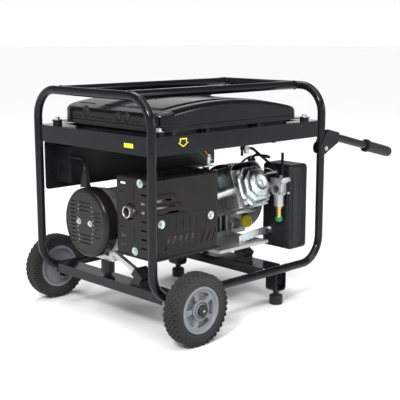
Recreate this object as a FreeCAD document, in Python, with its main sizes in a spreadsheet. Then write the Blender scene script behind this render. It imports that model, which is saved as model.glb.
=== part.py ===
import FreeCAD, Part
import math
import os

from FreeCAD import Placement, Rotation, Vector

# Portable open frame generator: a petrol engine and an alternator in a tube frame
# with two wheels, two feet and two folding handles.
#
# Millimetres, +Z up. The origin is on the floor, in the middle of the machine with
# its handles folded out. +X runs towards the handles, -Y is the muffler side and
# +Y the side of the control panel.

os.makedirs("parts", exist_ok=True)
doc = FreeCAD.newDocument("generator")

# ---------------------------------------------------------------- driving sizes
SIZES = [
    ("tube_radius", 12.7),
    ("tube_wall", 1.6),
    ("leg_span_x", 703.0),
    ("leg_span_y", 516.0),
    ("top_height", 672.7),
    ("base_height", 120.1),
    ("top_bend", 85.0),
    ("base_bend", 80.0),
    ("base_joint", 547.0),
    ("top_tube_inset", 103.0),
    ("centre_to_left_leg", 532.97),
    ("rail_bottom", 517.0),
    ("rail_height", 50.0),
    ("rail_flange", 46.0),
    ("sheet_thick", 2.5),
    ("cross_rail_top", 133.0),
    ("cross_rail_height", 28.0),
    ("wheel_radius", 101.5),
    ("wheel_width", 48.0),
    ("wheel_plane", 67.0),
    ("hub_radius", 66.0),
    ("axle_x", 95.0),
    ("axle_radius", 5.0),
    ("foot_x", 537.5),
    ("foot_y", 32.0),
    ("foot_radius", 21.0),
    ("foot_height", 30.0),
    ("handle_pivot_height", 480.6),
    ("handle_droop", 14.0),
    ("handle_length", 357.0),
    ("grip_radius", 17.0),
    ("grip_length", 136.0),
    ("tank_length", 589.0),
    ("tank_width", 460.0),
    ("tank_flange_height", 577.0),
    ("tank_wall", 1.5),
    ("cap_radius", 36.0),
    ("panel_bottom", 366.0),
    ("panel_height", 150.0),
    ("crank_y", 322.0),
    ("crank_height", 290.0),
    ("crank_radius", 17.5),
    ("cylinder_x", 505.0),
    ("cylinder_tilt", 20.0),
    ("bore_radius", 44.0),
    ("cover_radius", 103.0),
    ("stator_radius", 92.0),
    ("rotor_radius", 60.0),
    ("running_gap", 0.06),
]
sheet = doc.addObject("Spreadsheet::Sheet", "sizes")
for row, (alias, value) in enumerate(SIZES, start=1):
    sheet.set(f"A{row}", str(value))
    sheet.setAlias(f"A{row}", alias)
doc.recompute()
S = {alias: float(sheet.get(alias)) for alias, value in SIZES}

R = S["tube_radius"]
SPAN_X = S["leg_span_x"]
SPAN_Y = S["leg_span_y"]
MID_Y = SPAN_Y / 2
X_AXIS = Vector(1, 0, 0)
Y_AXIS = Vector(0, 1, 0)
Z_AXIS = Vector(0, 0, 1)

NODES = []


# ---------------------------------------------------------------- small helpers
def at(x, y, z):
    """A point given from the near left leg's axis at floor level."""
    return Vector(x - S["centre_to_left_leg"], y - MID_Y, z)


def make(kind, name, place=None, **properties):
    """A document object; a text value is an expression on the sheet."""
    item = doc.addObject(kind, name)
    for prop, value in properties.items():
        if isinstance(value, str):
            item.setExpression(prop, value)
        else:
            setattr(item, prop, value)
    if place is not None:
        item.Placement = place
    return item


def box(corner, length, width, height, turn=Rotation()):
    return make("Part::Box", "box", Placement(corner, turn),
                Length=length, Width=width, Height=height)


def rod(start, direction, radius, height):
    """A cylinder from a point along a direction."""
    place = Placement(start, Rotation(Z_AXIS, direction))
    return make("Part::Cylinder", "rod", place, Radius=radius, Height=height)


def cone(start, direction, radius_1, radius_2, height):
    place = Placement(start, Rotation(Z_AXIS, direction))
    return make("Part::Cone", "cone", place, Radius1=radius_1, Radius2=radius_2,
                Height=height)


def hexagon(start, direction, across, height):
    """A hexagonal prism, for nuts and bolt heads."""
    place = Placement(start, Rotation(Z_AXIS, direction))
    return make("Part::Prism", "hexagon", place, Polygon=6,
                Circumradius=across / math.sqrt(3), Height=height)


def feature(shape, name="shape"):
    return make("Part::Feature", name, Shape=shape)


def fuse(*items):
    if len(items) == 1:
        return items[0]
    return make("Part::MultiFuse", "fuse", Shapes=list(items), Refine=True)


def group(*items):
    """Separate solids that share one node."""
    return make("Part::Compound", "group", Links=list(items))


def cut(base, *tools):
    return make("Part::Cut", "cut", Base=base, Tool=fuse(*tools), Refine=True)


def common(first, second):
    return make("Part::Common", "common", Base=first, Tool=second)


def round_edges(base, radius, wanted):
    """Fillet the edges of base for which wanted(edge) is true."""
    doc.recompute()
    edges = [(number, radius, radius) for number, edge in
             enumerate(base.Shape.Edges, start=1) if wanted(edge)]
    return make("Part::Fillet", "fillet", Base=base, Edges=edges)


def runs_along(direction):
    def wanted(edge):
        if edge.Curve.TypeId != "Part::GeomLine":
            return False
        return abs(edge.tangentAt(edge.FirstParameter).dot(direction)) > 0.99
    return wanted


def mirrored_y(item):
    """The same piece on the far side of the machine."""
    return make("Part::Mirroring", "mirror", Source=item, Normal=Y_AXIS,
                Base=Vector(0, 0, 0))


def publish(node, item):
    """Name a finished sub-part."""
    item.Label = node
    NODES.append(item)
    return item


def bent_path(points, bends):
    """A wire through points whose inner corners are rounded to the given radii."""
    edges = []
    last = points[0]
    for before, corner, after, radius in zip(points, points[1:], points[2:], bends):
        a = (before - corner).normalize()
        b = (after - corner).normalize()
        half = a.getAngle(b) / 2
        reach = radius / math.tan(half)
        start = corner + a * reach
        end = corner + b * reach
        middle = corner + (a + b).normalize() * (radius / math.sin(half) - radius)
        if start.distanceToPoint(last) > 0.01:
            edges.append(Part.LineSegment(last, start).toShape())
        edges.append(Part.Arc(start, middle, end).toShape())
        last = end
    edges.append(Part.LineSegment(last, points[-1]).toShape())
    return Part.Wire(edges)


def sweep(wire, radius):
    """A round bar of the given radius (number or expression) along a wire."""
    path = feature(wire, "path")
    first = wire.Edges[0]
    place = Placement(first.valueAt(first.FirstParameter),
                      Rotation(Z_AXIS, first.tangentAt(first.FirstParameter)))
    ring = make("Part::Circle", "ring", place, Radius=radius)
    spine = (path, [f"Edge{n + 1}" for n in range(len(wire.Edges))])
    return make("Part::Sweep", "sweep", Sections=[ring], Spine=spine, Solid=True,
                Frenet=False)


def bent_tube(points, bends, radius, bore):
    wire = bent_path(points, bends)
    return cut(sweep(wire, radius), sweep(wire, bore))


TUBE_R = "sizes.tube_radius"
TUBE_BORE = "sizes.tube_radius - sizes.tube_wall"


def plane_of(body, role):
    return next(item for item in body.Origin.OriginFeatures if item.Role == role)


def new_body(name):
    return doc.addObject("PartDesign::Body", name)


def new_sketch(body, outline, role="XZ_Plane", offset=0.0):
    """A sketch with one closed outline: points joined by lines, where an entry
    ("arc", through, end) draws an arc instead, or one circle (centre, radius)."""
    sketch = body.newObject("Sketcher::SketchObject", "sketch")
    sketch.AttachmentSupport = [(plane_of(body, role), "")]
    sketch.MapMode = "FlatFace"
    sketch.AttachmentOffset = Placement(Vector(0, 0, offset), Rotation())
    add_outline(sketch, outline)
    return sketch


def add_outline(sketch, outline):
    if isinstance(outline[1], (int, float)):
        centre, radius = outline
        sketch.addGeometry(Part.Circle(Vector(*centre, 0), Z_AXIS, radius))
        return
    last = Vector(*outline[0], 0)
    for entry in outline[1:] + [outline[0]]:
        if entry[0] == "arc":
            end = Vector(*entry[2], 0)
            sketch.addGeometry(Part.Arc(last, Vector(*entry[1], 0), end))
        else:
            end = Vector(*entry, 0)
            if end.distanceToPoint(last) > 1e-6:
                sketch.addGeometry(Part.LineSegment(last, end))
        last = end


def pad(body, sketch, length, midplane=False, reverse=False):
    item = body.newObject("PartDesign::Pad", "pad")
    item.Profile = sketch
    if isinstance(length, str):
        item.setExpression("Length", length)
    else:
        item.Length = length
    item.Midplane = midplane
    item.Reversed = reverse
    return item


def pocket(body, sketch, length, reverse=False):
    item = body.newObject("PartDesign::Pocket", "pocket")
    item.Profile = sketch
    item.Length = length
    item.Reversed = reverse
    return item


def revolve(body, sketch, axis="V_Axis"):
    item = body.newObject("PartDesign::Revolution", "revolution")
    item.Profile = sketch
    item.ReferenceAxis = (sketch, [axis])
    item.Angle = 360
    return item


def turned(name, outline, place):
    """A turned piece. The outline holds (radius, height) points; the piece's own
    Z axis is the axis it is turned about."""
    body = new_body(name)
    revolve(body, new_sketch(body, outline))
    body.Placement = place
    return body


def facing(point, direction):
    return Placement(point, Rotation(Z_AXIS, direction))


def rounded_plate(length, width, thick, corner, base_z, centre):
    """A flat plate with rounded corners about a centre point."""
    x, y = centre
    edges = []
    half_l = length / 2
    half_w = width / 2
    corners = [Vector(x - half_l, y - half_w, base_z), Vector(x + half_l, y - half_w, base_z),
               Vector(x + half_l, y + half_w, base_z), Vector(x - half_l, y + half_w, base_z)]
    start = (corners[0] + corners[1]) * 0.5
    wire = bent_path([start] + corners[1:] + [corners[0], start], [corner] * 4)
    return Part.Face(wire).extrude(Vector(0, 0, thick))


# ---------------------------------------------------------------- tube frame
def pivot_holes(x):
    """Cross holes for the handle pivots through both legs at x."""
    return rod(at(x, -30, S["handle_pivot_height"]), Y_AXIS, 4.0, SPAN_Y + 60)


def hoop(node, leg_x, inward):
    """An end hoop: two legs joined over the top, with their lower ends bent
    into the long base tubes as far as the joint in those tubes."""
    low, high = S["base_height"], S["top_height"]
    points = [at(S["base_joint"], 0, low), at(leg_x, 0, low), at(leg_x, 0, high),
              at(leg_x, SPAN_Y, high), at(leg_x, SPAN_Y, low),
              at(S["base_joint"], SPAN_Y, low)]
    base, top = S["base_bend"], S["top_bend"]
    tube = bent_tube(points, [base, top, top, base], TUBE_R, TUBE_BORE)
    if inward < 0:
        tube = cut(tube, pivot_holes(leg_x))
    return publish(node, tube)


hoop("left_hoop", 0, 1)
hoop("right_hoop", SPAN_X, -1)

# The two carrying tubes along the top are coped on to the hoops at both ends.
top_tubes = []
for y in (S["top_tube_inset"], SPAN_Y - S["top_tube_inset"]):
    start = at(0, y, S["top_height"])
    ends = [rod(at(x, y - 30, S["top_height"]), Y_AXIS, TUBE_R, 60) for x in (0, SPAN_X)]
    bar = rod(start, X_AXIS, TUBE_R, "sizes.leg_span_x")
    hollow = rod(start, X_AXIS, TUBE_BORE, "sizes.leg_span_x")
    top_tubes.append(cut(bar, hollow, *ends))
publish("top_tubes", group(*top_tubes))

# Four pressed rails between the legs carry the tank on their inward flanges.
LEGS = [(x, y) for x in (0, SPAN_X) for y in (0, SPAN_Y)]
RAIL_TOP = S["rail_bottom"] + S["rail_height"]
THICK = S["sheet_thick"]
FLANGE = S["rail_flange"]


TANK_BOLTS = [(x, y) for x in (50, SPAN_X - 50) for y in (28, SPAN_Y - 28)]


def leg_cores():
    return [rod(at(x, y, 400), Z_AXIS, TUBE_R, 250) for x, y in LEGS]


rails = []
for side in (0, 1):
    y = side * SPAN_Y
    web = box(at(0, y - THICK / 2, S["rail_bottom"]), "sizes.leg_span_x",
              "sizes.sheet_thick", "sizes.rail_height")
    flange_y = y if side == 0 else y - FLANGE
    flange = box(at(0, flange_y, RAIL_TOP - THICK), "sizes.leg_span_x",
                 "sizes.rail_flange", "sizes.sheet_thick")
    holes = [rod(at(bolt_x, bolt_y, RAIL_TOP - 10), Z_AXIS, 4.1, 20)
             for bolt_x, bolt_y in TANK_BOLTS]
    rails.append(cut(fuse(web, flange), *leg_cores(), *holes))
for side in (0, 1):
    x = side * SPAN_X
    web = box(at(x - THICK / 2, 0, S["rail_bottom"]), "sizes.sheet_thick",
              "sizes.leg_span_y", "sizes.rail_height")
    flange_x = x if side == 0 else x - 56
    flange = box(at(flange_x, FLANGE, RAIL_TOP - THICK), 56,
                 "sizes.leg_span_y - 2 * sizes.rail_flange", "sizes.sheet_thick")
    rails.append(cut(fuse(web, flange), *leg_cores()))


def cross_rail(x_start, width):
    """A channel across the base tubes, open side down."""
    top = S["cross_rail_top"]
    height = S["cross_rail_height"]
    outer = box(at(x_start, 0, top - height), width, "sizes.leg_span_y", height)
    inner = box(at(x_start + 3, -1, top - height - 1), width - 6,
                "sizes.leg_span_y + 2", height - 2)
    ends = [box(at(x_start - 1, y, top - height - 1), width + 2, R + 1, height + 2)
            for y in (-1, SPAN_Y - R)]
    notches = [rod(at(S["axle_x"], y, S["wheel_radius"]), Y_AXIS, 11, 30)
               for y in (0, SPAN_Y - 30)]
    return cut(outer, inner, *ends, *notches)


publish("frame_rails", group(*rails, cross_rail(42, 58), cross_rail(450, 81)))

# ---------------------------------------------------------------- wheels
WHEEL_Z = S["wheel_radius"]
HALF_WIDTH = S["wheel_width"] / 2


def near_and_far(item):
    return [item, mirrored_y(item)]


axle_bracket = cut(
    box(at(S["axle_x"] - 25, -R, 84), 50, 2 * R, 36),
    box(at(S["axle_x"] - 26, -R + 3, 87), 52, 2 * R - 6, 40),
    rod(at(S["axle_x"] - 30, 0, S["base_height"]), X_AXIS, TUBE_R, 60),
    rod(at(S["axle_x"], -30, WHEEL_Z), Y_AXIS, "sizes.axle_radius", 60))

axle_bolt = turned("axle_bolt", [
    (0, -19), (9, -19), (9, -R), (5, -R), (5, R), (10, R), (10, 42.6), (5, 42.6),
    (5, 91.6), (12.5, 91.6), (12.5, 95), (10, 98.2), (5, 99.4), (0, 99.8)],
    facing(at(S["axle_x"], 0, WHEEL_Z), Vector(0, -1, 0)))
publish("axle_bolts", group(*near_and_far(axle_bolt)))


def tyre(node, side):
    rim = S["hub_radius"]
    outer = S["wheel_radius"]
    body = turned(node, [
        (rim, -19), (rim, 19), (72, 21.5), (80, HALF_WIDTH), (92, 22.8),
        (98, 19.5), (outer, 13), (outer, -13), (98, -19.5), (92, -22.8),
        (80, -HALF_WIDTH), (72, -21.5)],
        facing(at(S["axle_x"], MID_Y + side * (MID_Y + S["wheel_plane"]), WHEEL_Z),
               Vector(0, side, 0)))
    return publish(node, body)


def hub(node, side):
    """A moulded wheel centre with five recessed windows in its outer face."""
    body = new_body(node)
    bore = S["axle_radius"] + S["running_gap"]
    rim = S["hub_radius"]
    revolve(body, new_sketch(body, [
        (bore, -23.6), (14, -23.6), (16, -4), (56, -4), (59, -19), (rim, -19),
        (rim, 19), (63, 21.5), (59, 21.5), (56, 16), (20, 16), (17, 23.6), (bore, 23.6)]))
    doc.recompute()
    solid_volume = body.Shape.Volume
    inner, outer = 24.0, 50.0
    window = []
    for radius, angle in ((inner, -24), (outer, -27)):
        window.append((radius * math.cos(math.radians(angle)),
                       radius * math.sin(math.radians(angle))))
    window.append(("arc", (outer, 0.0), (window[1][0], -window[1][1])))
    window.append((window[0][0], -window[0][1]))
    sketch = new_sketch(body, window, "XY_Plane", 16.0)
    recess = pocket(body, sketch, 11.0)
    doc.recompute()
    pattern = body.newObject("PartDesign::PolarPattern", "windows")
    pattern.Originals = [recess]
    pattern.Axis = (plane_of(body, "Z_Axis"), [""])
    pattern.Angle = 360
    pattern.Occurrences = 5
    body.Tip = pattern
    doc.recompute()
    if body.Shape.Volume > solid_volume - 1000:
        raise ValueError("the wheel windows were not cut")
    body.Placement = facing(
        at(S["axle_x"], MID_Y + side * (MID_Y + S["wheel_plane"]), WHEEL_Z),
        Vector(0, side, 0))
    return publish(node, body)


for word, side in (("near", -1), ("far", 1)):
    tyre(f"tyre_{word}", side)
    hub(f"hub_{word}", side)

# ---------------------------------------------------------------- feet
FOOT_X, FOOT_Y = S["foot_x"], S["foot_y"]


def foot_bracket():
    """A strap bent to a U, welded under the right cross rail."""
    body = new_body("foot_strap")
    half, low, high, bend = 23.5, 45.0, 105.0, 12.0
    slope = bend * (1 - math.sqrt(0.5))
    inner = half - 3.5
    outline = [
        (-half, high), (-half, low + bend),
        ("arc", (-half + slope, low + slope), (-half + bend, low)), (half - bend, low),
        ("arc", (half - slope, low + slope), (half, low + bend)), (half, high),
        (inner, high), (inner, low + bend), (inner - 8.5, low + 3.5),
        (-inner + 8.5, low + 3.5), (-inner, low + bend), (-inner, high)]
    pad(body, new_sketch(body, outline), 42, midplane=True)
    body.Placement = Placement(at(FOOT_X - 2, FOOT_Y, 0), Rotation())
    return cut(body, rod(at(FOOT_X, FOOT_Y, 40), Z_AXIS, 5, 12))


publish("frame_brackets", group(*near_and_far(axle_bracket), *near_and_far(foot_bracket())))
rubber_foot = turned("rubber_foot", [
    (0, 0), (19, 0), (21, 2.5), (21, 27), (18, 30), (10, 31.5), (9, 36), (11, 45),
    (0, 45)], Placement(at(FOOT_X, FOOT_Y, 0), Rotation()))
foot_stud = fuse(rod(at(FOOT_X, FOOT_Y, 45), Z_AXIS, 5, 14),
                 hexagon(at(FOOT_X, FOOT_Y, 48.6), Z_AXIS, 15, 6))
publish("rubber_feet", group(*near_and_far(fuse(rubber_foot, foot_stud))))

# ---------------------------------------------------------------- handles
PIVOT_Z = S["handle_pivot_height"]
DROOP = math.radians(S["handle_droop"])
HANDLE_DIR = Vector(math.cos(DROOP), 0, -math.sin(DROOP))
HANDLE_UP = Vector(math.sin(DROOP), 0, math.cos(DROOP))


def handle_start(y):
    return at(SPAN_X + 19.5, y, PIVOT_Z + 40.8)


def handle_arm(node, y):
    """A folded gusset round the leg with a tube welded into it."""
    plates = []
    for y_plate in (y - R - 2.8, y + R + 0.3):
        outline = [at(SPAN_X - 6, y_plate, PIVOT_Z + 19), at(SPAN_X + 13.5, y_plate, PIVOT_Z + 58.5),
                   at(SPAN_X + 74, y_plate, PIVOT_Z + 43.5), at(SPAN_X + 70, y_plate, PIVOT_Z + 12),
                   at(SPAN_X + 14, y_plate, PIVOT_Z - 13.5)]
        wire = Part.makePolygon(outline + [outline[0]])
        slab = feature(Part.Face(wire).extrude(Vector(0, 2.5, 0)))
        lobe = rod(at(SPAN_X, y_plate, PIVOT_Z), Y_AXIS, 19.5, 2.5)
        plates += [slab, lobe]
    web = box(at(SPAN_X + R + 0.8, y - R - 2.8, PIVOT_Z + 20), 2.5, 2 * R + 5.6, 32)
    saddle = box(handle_start(y) + HANDLE_UP * (R - 0.4) - Y_AXIS * (R + 2.8), 52,
                 2 * R + 5.6, 2.5, Rotation(Y_AXIS, S["handle_droop"]))
    tube = rod(handle_start(y), HANDLE_DIR, TUBE_R, "sizes.handle_length")
    bore = rod(handle_start(y), HANDLE_DIR, TUBE_BORE, "sizes.handle_length")
    hole = rod(at(SPAN_X, y - 30, PIVOT_Z), Y_AXIS, 4.06, 60)
    return publish(node, cut(fuse(web, saddle, tube, *plates), bore, hole))


def handle_grip(node, y):
    """A rubber sleeve with a collar, closed at its end."""
    tube = S["tube_radius"]
    grip = S["grip_radius"]
    start = S["handle_length"] - S["grip_length"]
    end = S["handle_length"]
    outline = [(tube, start), (20, start), (21.5, start + 3), (21.5, start + 9),
               (grip, start + 14), (grip, end - 4),
               ("arc", (14.0, end + 5.0), (8.0, end + 8.0)), (0, end + 8.5),
               (0, end), (tube, end)]
    return publish(node, turned(node, outline, facing(handle_start(y), HANDLE_DIR)))


def handle_pivot(y, outward):
    """A bolt through the leg and both plates, with a lock nut inside."""
    start = at(SPAN_X, y - outward * 24, PIVOT_Z)
    way = Vector(0, outward, 0)
    return fuse(rod(start, way, 4.0, 48), hexagon(start, way, 13, 7),
                hexagon(at(SPAN_X, y + outward * 17, PIVOT_Z), way, 13, 6))


for word, y in (("near", 0.0), ("far", SPAN_Y)):
    handle_arm(f"handle_arm_{word}", y)
    handle_grip(f"handle_grip_{word}", y)
pivot_bolts = [handle_pivot(0.0, -1), handle_pivot(SPAN_Y, 1)]

# ---------------------------------------------------------------- fuel tank
TANK_X = 56.0
TANK_MID_X = TANK_X + S["tank_length"] / 2
TANK_Z = S["tank_flange_height"]


def side_profile(points_arc, base_z, left, right, wall_l, wall_r):
    """A closed outline in the XZ plane with an arched top."""
    start, through, end = points_arc
    edges = [Part.LineSegment(at(left, 0, base_z), at(wall_l, 0, start)).toShape(),
             Part.Arc(at(wall_l, 0, start), at(300, 0, through), at(wall_r, 0, end)).toShape(),
             Part.LineSegment(at(wall_r, 0, end), at(right, 0, base_z)).toShape(),
             Part.LineSegment(at(right, 0, base_z), at(left, 0, base_z)).toShape()]
    return Part.Face(Part.Wire(edges))


def tank_dome(inset):
    """The arched upper half of the tank, smaller all round by inset."""
    left = TANK_X + inset
    right = TANK_X + S["tank_length"] - inset
    half = S["tank_width"] / 2 - inset
    face = side_profile((TANK_Z + 43 - inset, TANK_Z + 70 - inset, TANK_Z + 28 - inset),
                        TANK_Z, left, right, left, right)
    solid = face.extrude(Vector(0, 2 * half, 0))
    solid.translate(Vector(0, MID_Y - half, 0))
    upright = [edge for edge in solid.Edges
               if edge.BoundBox.ZLength > 20 and edge.BoundBox.XLength < 1]
    solid = solid.makeFillet(60 - inset, upright)
    top_z = TANK_Z + 22
    brim = [edge for edge in solid.Edges if edge.BoundBox.ZMin > top_z]
    return solid.makeFillet(14 - inset, brim)


def tank_pan(inset):
    """The shallow lower half of the tank."""
    depth = 72 - inset
    solid = rounded_plate(S["tank_length"] - 40 - 2 * inset, S["tank_width"] - 40 - 2 * inset,
                          depth, 50 - inset, TANK_Z - depth,
                          (at(TANK_MID_X, 0, 0).x, 0))
    low = [edge for edge in solid.Edges if edge.BoundBox.ZMax < TANK_Z - depth + 0.1]
    return solid.makeFillet(18 - inset, low)


FILLER = at(470, 300, TANK_Z + 45)
FILLER_TOP = TANK_Z + 76
GAUGE = at(240, 300, TANK_Z + 60)
GAUGE_TOP = TANK_Z + 73
wall = S["tank_wall"]
flange_plate = feature(rounded_plate(S["tank_length"] + 10, S["tank_width"] + 8, 3.0, 25,
                                     TANK_Z - 1.5, (at(TANK_MID_X, 0, 0).x, 0)))
ears = [rod(at(x, y, TANK_Z - 1.5), Z_AXIS, 17, 3) for x, y in TANK_BOLTS]
ear_holes = [rod(at(x, y, TANK_Z - 5), Z_AXIS, 4.5, 10) for x, y in TANK_BOLTS]
neck = rod(FILLER, Z_AXIS, 26, FILLER_TOP - FILLER.z)
gauge_seat = rod(GAUGE, Z_AXIS, 22, GAUGE_TOP - GAUGE.z)
tap_boss = rod(at(520, 150, TANK_Z - 78), Z_AXIS, 9, 8)
outer_tank = fuse(feature(tank_dome(0)), feature(tank_pan(0)), flange_plate, neck,
                  gauge_seat, tap_boss, *ears)
inner_tank = fuse(feature(tank_dome(wall)), feature(tank_pan(wall)),
                  rod(FILLER, Z_AXIS, 24, FILLER_TOP - FILLER.z + 1),
                  rod(GAUGE, Z_AXIS, 18, GAUGE_TOP - GAUGE.z + 1),
                  rod(at(520, 150, TANK_Z - 80), Z_AXIS, 4, 12))
publish("fuel_tank", cut(outer_tank, inner_tank, *ear_holes))

cap = turned("fuel_cap", [
    (0, 0.5), (26.4, 0.5), (26.4, -11), (33, -11), (36, -8), (36, 8), (32, 13), (0, 15)],
    Placement(Vector(FILLER.x, FILLER.y, FILLER_TOP), Rotation()))
publish("fuel_cap", cap)
publish("fuel_gauge", turned("fuel_gauge", [
    (0, -28), (3, -28), (3, -2), (17.9, -2), (17.9, 0), (23, 0), (23, 4), (20, 7), (0, 8)],
    Placement(Vector(GAUGE.x, GAUGE.y, GAUGE_TOP), Rotation())))

FLANGE_LOW = TANK_Z - 1.5
tank_bolts = []
tank_bushes = []
for x, y in TANK_BOLTS:
    tank_bolts.append(fuse(rod(at(x, y, RAIL_TOP - 16), Z_AXIS, 4, FLANGE_LOW + 19 - RAIL_TOP),
                           rod(at(x, y, FLANGE_LOW + 3), Z_AXIS, 13, 2),
                           hexagon(at(x, y, FLANGE_LOW + 5), Z_AXIS, 13, 7),
                           hexagon(at(x, y, RAIL_TOP - 10), Z_AXIS, 13, 7.5)))
    tank_bushes.append(cut(rod(at(x, y, RAIL_TOP), Z_AXIS, 14, FLANGE_LOW - RAIL_TOP),
                           rod(at(x, y, RAIL_TOP - 1), Z_AXIS, 4.1, 20)))
for x in (226, 438):
    for y in (34, SPAN_Y - 34):
        tank_bushes.append(box(at(x, y - 6, RAIL_TOP), 12, 12, FLANGE_LOW - RAIL_TOP))
publish("tank_bushes", group(*tank_bushes))

# The tap hangs under the tank. Its lever turns about the X axis.
TAP = at(520, 150, TANK_Z - 78)
tap = fuse(cone(TAP - Z_AXIS * 8, Z_AXIS, 7, 9, 8), rod(TAP - Z_AXIS * 24, Z_AXIS, 8, 17),
           rod(TAP - Z_AXIS * 16, X_AXIS * -1, 7, 13), rod(TAP - Z_AXIS * 19, X_AXIS, 3.4, 16))
publish("fuel_valve", tap)
lever_hub = TAP + Vector(-13.3, 0, -16)
publish("fuel_valve_lever", fuse(rod(lever_hub, X_AXIS * -1, 6.5, 7),
                                 box(lever_hub + Vector(-6.5, -4, -24), 4, 8, 24)))

# ---------------------------------------------------------------- control panel
PLATE_Y = SPAN_Y - 3.3
PLATE_LEFT, PLATE_RIGHT = 18.0, 685.0
LOW = S["panel_bottom"]
BOX_LOW, BOX_TOP, BOX_FRONT = 389.0, 499.0, 441.0
SOCKETS = [(330, 445, 24.0), (420, 445, 24.0), (520, 445, 32.0)]
METER, BREAKER, SWITCH = (120, 452), (222, 452), (622, 452)

plate = box(at(PLATE_LEFT, PLATE_Y, LOW), PLATE_RIGHT - PLATE_LEFT, 2, "sizes.panel_height")
openings = [rod(at(x, PLATE_Y - 5, z), Y_AXIS, radius - 2, 10) for x, z, radius in SOCKETS]
openings.append(rod(at(METER[0], PLATE_Y - 5, METER[1]), Y_AXIS, 26, 10))
openings.append(box(at(BREAKER[0] - 17, PLATE_Y - 5, BREAKER[1] - 34), 34, 10, 68))
openings.append(box(at(SWITCH[0] - 11, PLATE_Y - 5, SWITCH[1] - 14), 22, 10, 28))
plate = cut(plate, *openings)
publish("control_panel", round_edges(plate, 9.9, lambda edge: edge.Length < 2.1
                                     and abs(edge.tangentAt(edge.FirstParameter).y) > 0.9
                                     and (edge.BoundBox.XMin < at(20, 0, 0).x
                                          or edge.BoundBox.XMax > at(683, 0, 0).x)))

panel_box = cut(
    box(at(60, BOX_FRONT, BOX_LOW), 611, PLATE_Y - BOX_FRONT, BOX_TOP - BOX_LOW),
    box(at(61.5, BOX_FRONT + 1.5, BOX_LOW + 1.5), 608, PLATE_Y - BOX_FRONT,
        BOX_TOP - BOX_LOW - 3))
publish("control_box", panel_box)


def socket(x, z, radius):
    """A round power socket: a recessed face with three contact holes."""
    face = turned("socket", [
        (0, -34), (radius - 5, -34), (radius - 2.1, -30), (radius - 2.1, 0), (radius + 3, 0),
        (radius + 3, 3), (radius - 1, 6), (radius - 4.5, 6), (radius - 4.5, -11), (0, -11)],
        facing(at(x, PLATE_Y + 2, z), Y_AXIS))
    pins = []
    for turn in (90, 210, 330):
        reach = radius * 0.42
        offset = Vector(reach * math.cos(math.radians(turn)), 0,
                        reach * math.sin(math.radians(turn)))
        pins.append(rod(at(x, PLATE_Y - 26, z) + offset, Y_AXIS, 2.4, 20))
    return cut(face, *pins)


publish("power_sockets", group(*[socket(x, z, radius) for x, z, radius in SOCKETS]))
publish("voltmeter", turned("voltmeter", [
    (0, -32), (25.9, -32), (25.9, 0), (30, 0), (30, 5), (26, 8), (0, 8)],
    facing(at(METER[0], PLATE_Y + 2, METER[1]), Y_AXIS)))
breaker = cut(
    fuse(box(at(BREAKER[0] - 16.9, PLATE_Y - 40, BREAKER[1] - 33.9), 33.8, 46, 67.8),
         box(at(BREAKER[0] - 20, PLATE_Y + 2, BREAKER[1] - 38), 40, 4, 76)),
    box(at(BREAKER[0] - 6, PLATE_Y - 8, BREAKER[1] - 15), 12, 20, 30))
publish("circuit_breaker", breaker)
BREAKER_PIVOT = at(BREAKER[0], PLATE_Y - 1, BREAKER[1])
toggle = fuse(rod(BREAKER_PIVOT - X_AXIS * 5, X_AXIS, 5.5, 10),
              box(BREAKER_PIVOT + Vector(-5, 3, -3.5), 10, 17, 7,
                  Rotation(X_AXIS, 25)))
publish("breaker_toggle", toggle)

SWITCH_PIVOT = at(SWITCH[0], PLATE_Y - 2, SWITCH[1])
rocker_body = new_body("rocker")
rocker_sketch = new_sketch(rocker_body, [
    (-5, 0), (5, 0), (11, 9), (0, 6), (-11, 5.5)], "YZ_Plane")
pad(rocker_body, rocker_sketch, 17, midplane=True)
rocker_body.Placement = Placement(SWITCH_PIVOT, Rotation(X_AXIS, -90))
publish("switch_rocker", rocker_body)

# ---------------------------------------------------------------- alternator
CRANK_Y, CRANK_Z = S["crank_y"], S["crank_height"]


def shaft_at(x):
    return at(x, CRANK_Y, CRANK_Z)


def on_shaft(x):
    """A turned piece's own Z axis laid along +X at this station."""
    return facing(shaft_at(x), X_AXIS)


COVER_R = S["cover_radius"]
cover_shell = turned("cover", [
    (0, 20), (COVER_R - 12, 20), ("arc", (COVER_R - 3.5, 23.5), (COVER_R, 32)),
    (COVER_R, 62), (COVER_R - 2.5, 62), (COVER_R - 2.5, 33),
    ("arc", (COVER_R - 5.5, 25.5), (COVER_R - 12.5, 22.5)), (0, 22.5)], on_shaft(0))
slots = []
for side, rows in ((1, range(-5, 6)), (-1, range(-3, 4))):
    for row_number in rows:
        slots.append(box(at(18, CRANK_Y + side * 58 - 12, CRANK_Z + row_number * 12 - 2),
                         6, 24, 4))
for row_number in (-5, -4, -3, 3, 4, 5):
    slots.append(box(at(18, CRANK_Y - 26, CRANK_Z + row_number * 12 - 2), 6, 52, 4))
COVER_SCREWS = [at(20, CRANK_Y + 27, CRANK_Z + 2), at(20, CRANK_Y - 26, CRANK_Z + 2)]
slots += [rod(point - X_AXIS, X_AXIS, 3.05, 5) for point in COVER_SCREWS]
posts = [rod(point + X_AXIS * 1.5, X_AXIS, 6, 40.5) for point in COVER_SCREWS]
slots += [rod(point + X_AXIS * 1, X_AXIS, 3.05, 45) for point in COVER_SCREWS]
publish("alternator_cover", cut(fuse(cover_shell, *posts), *slots))

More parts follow.
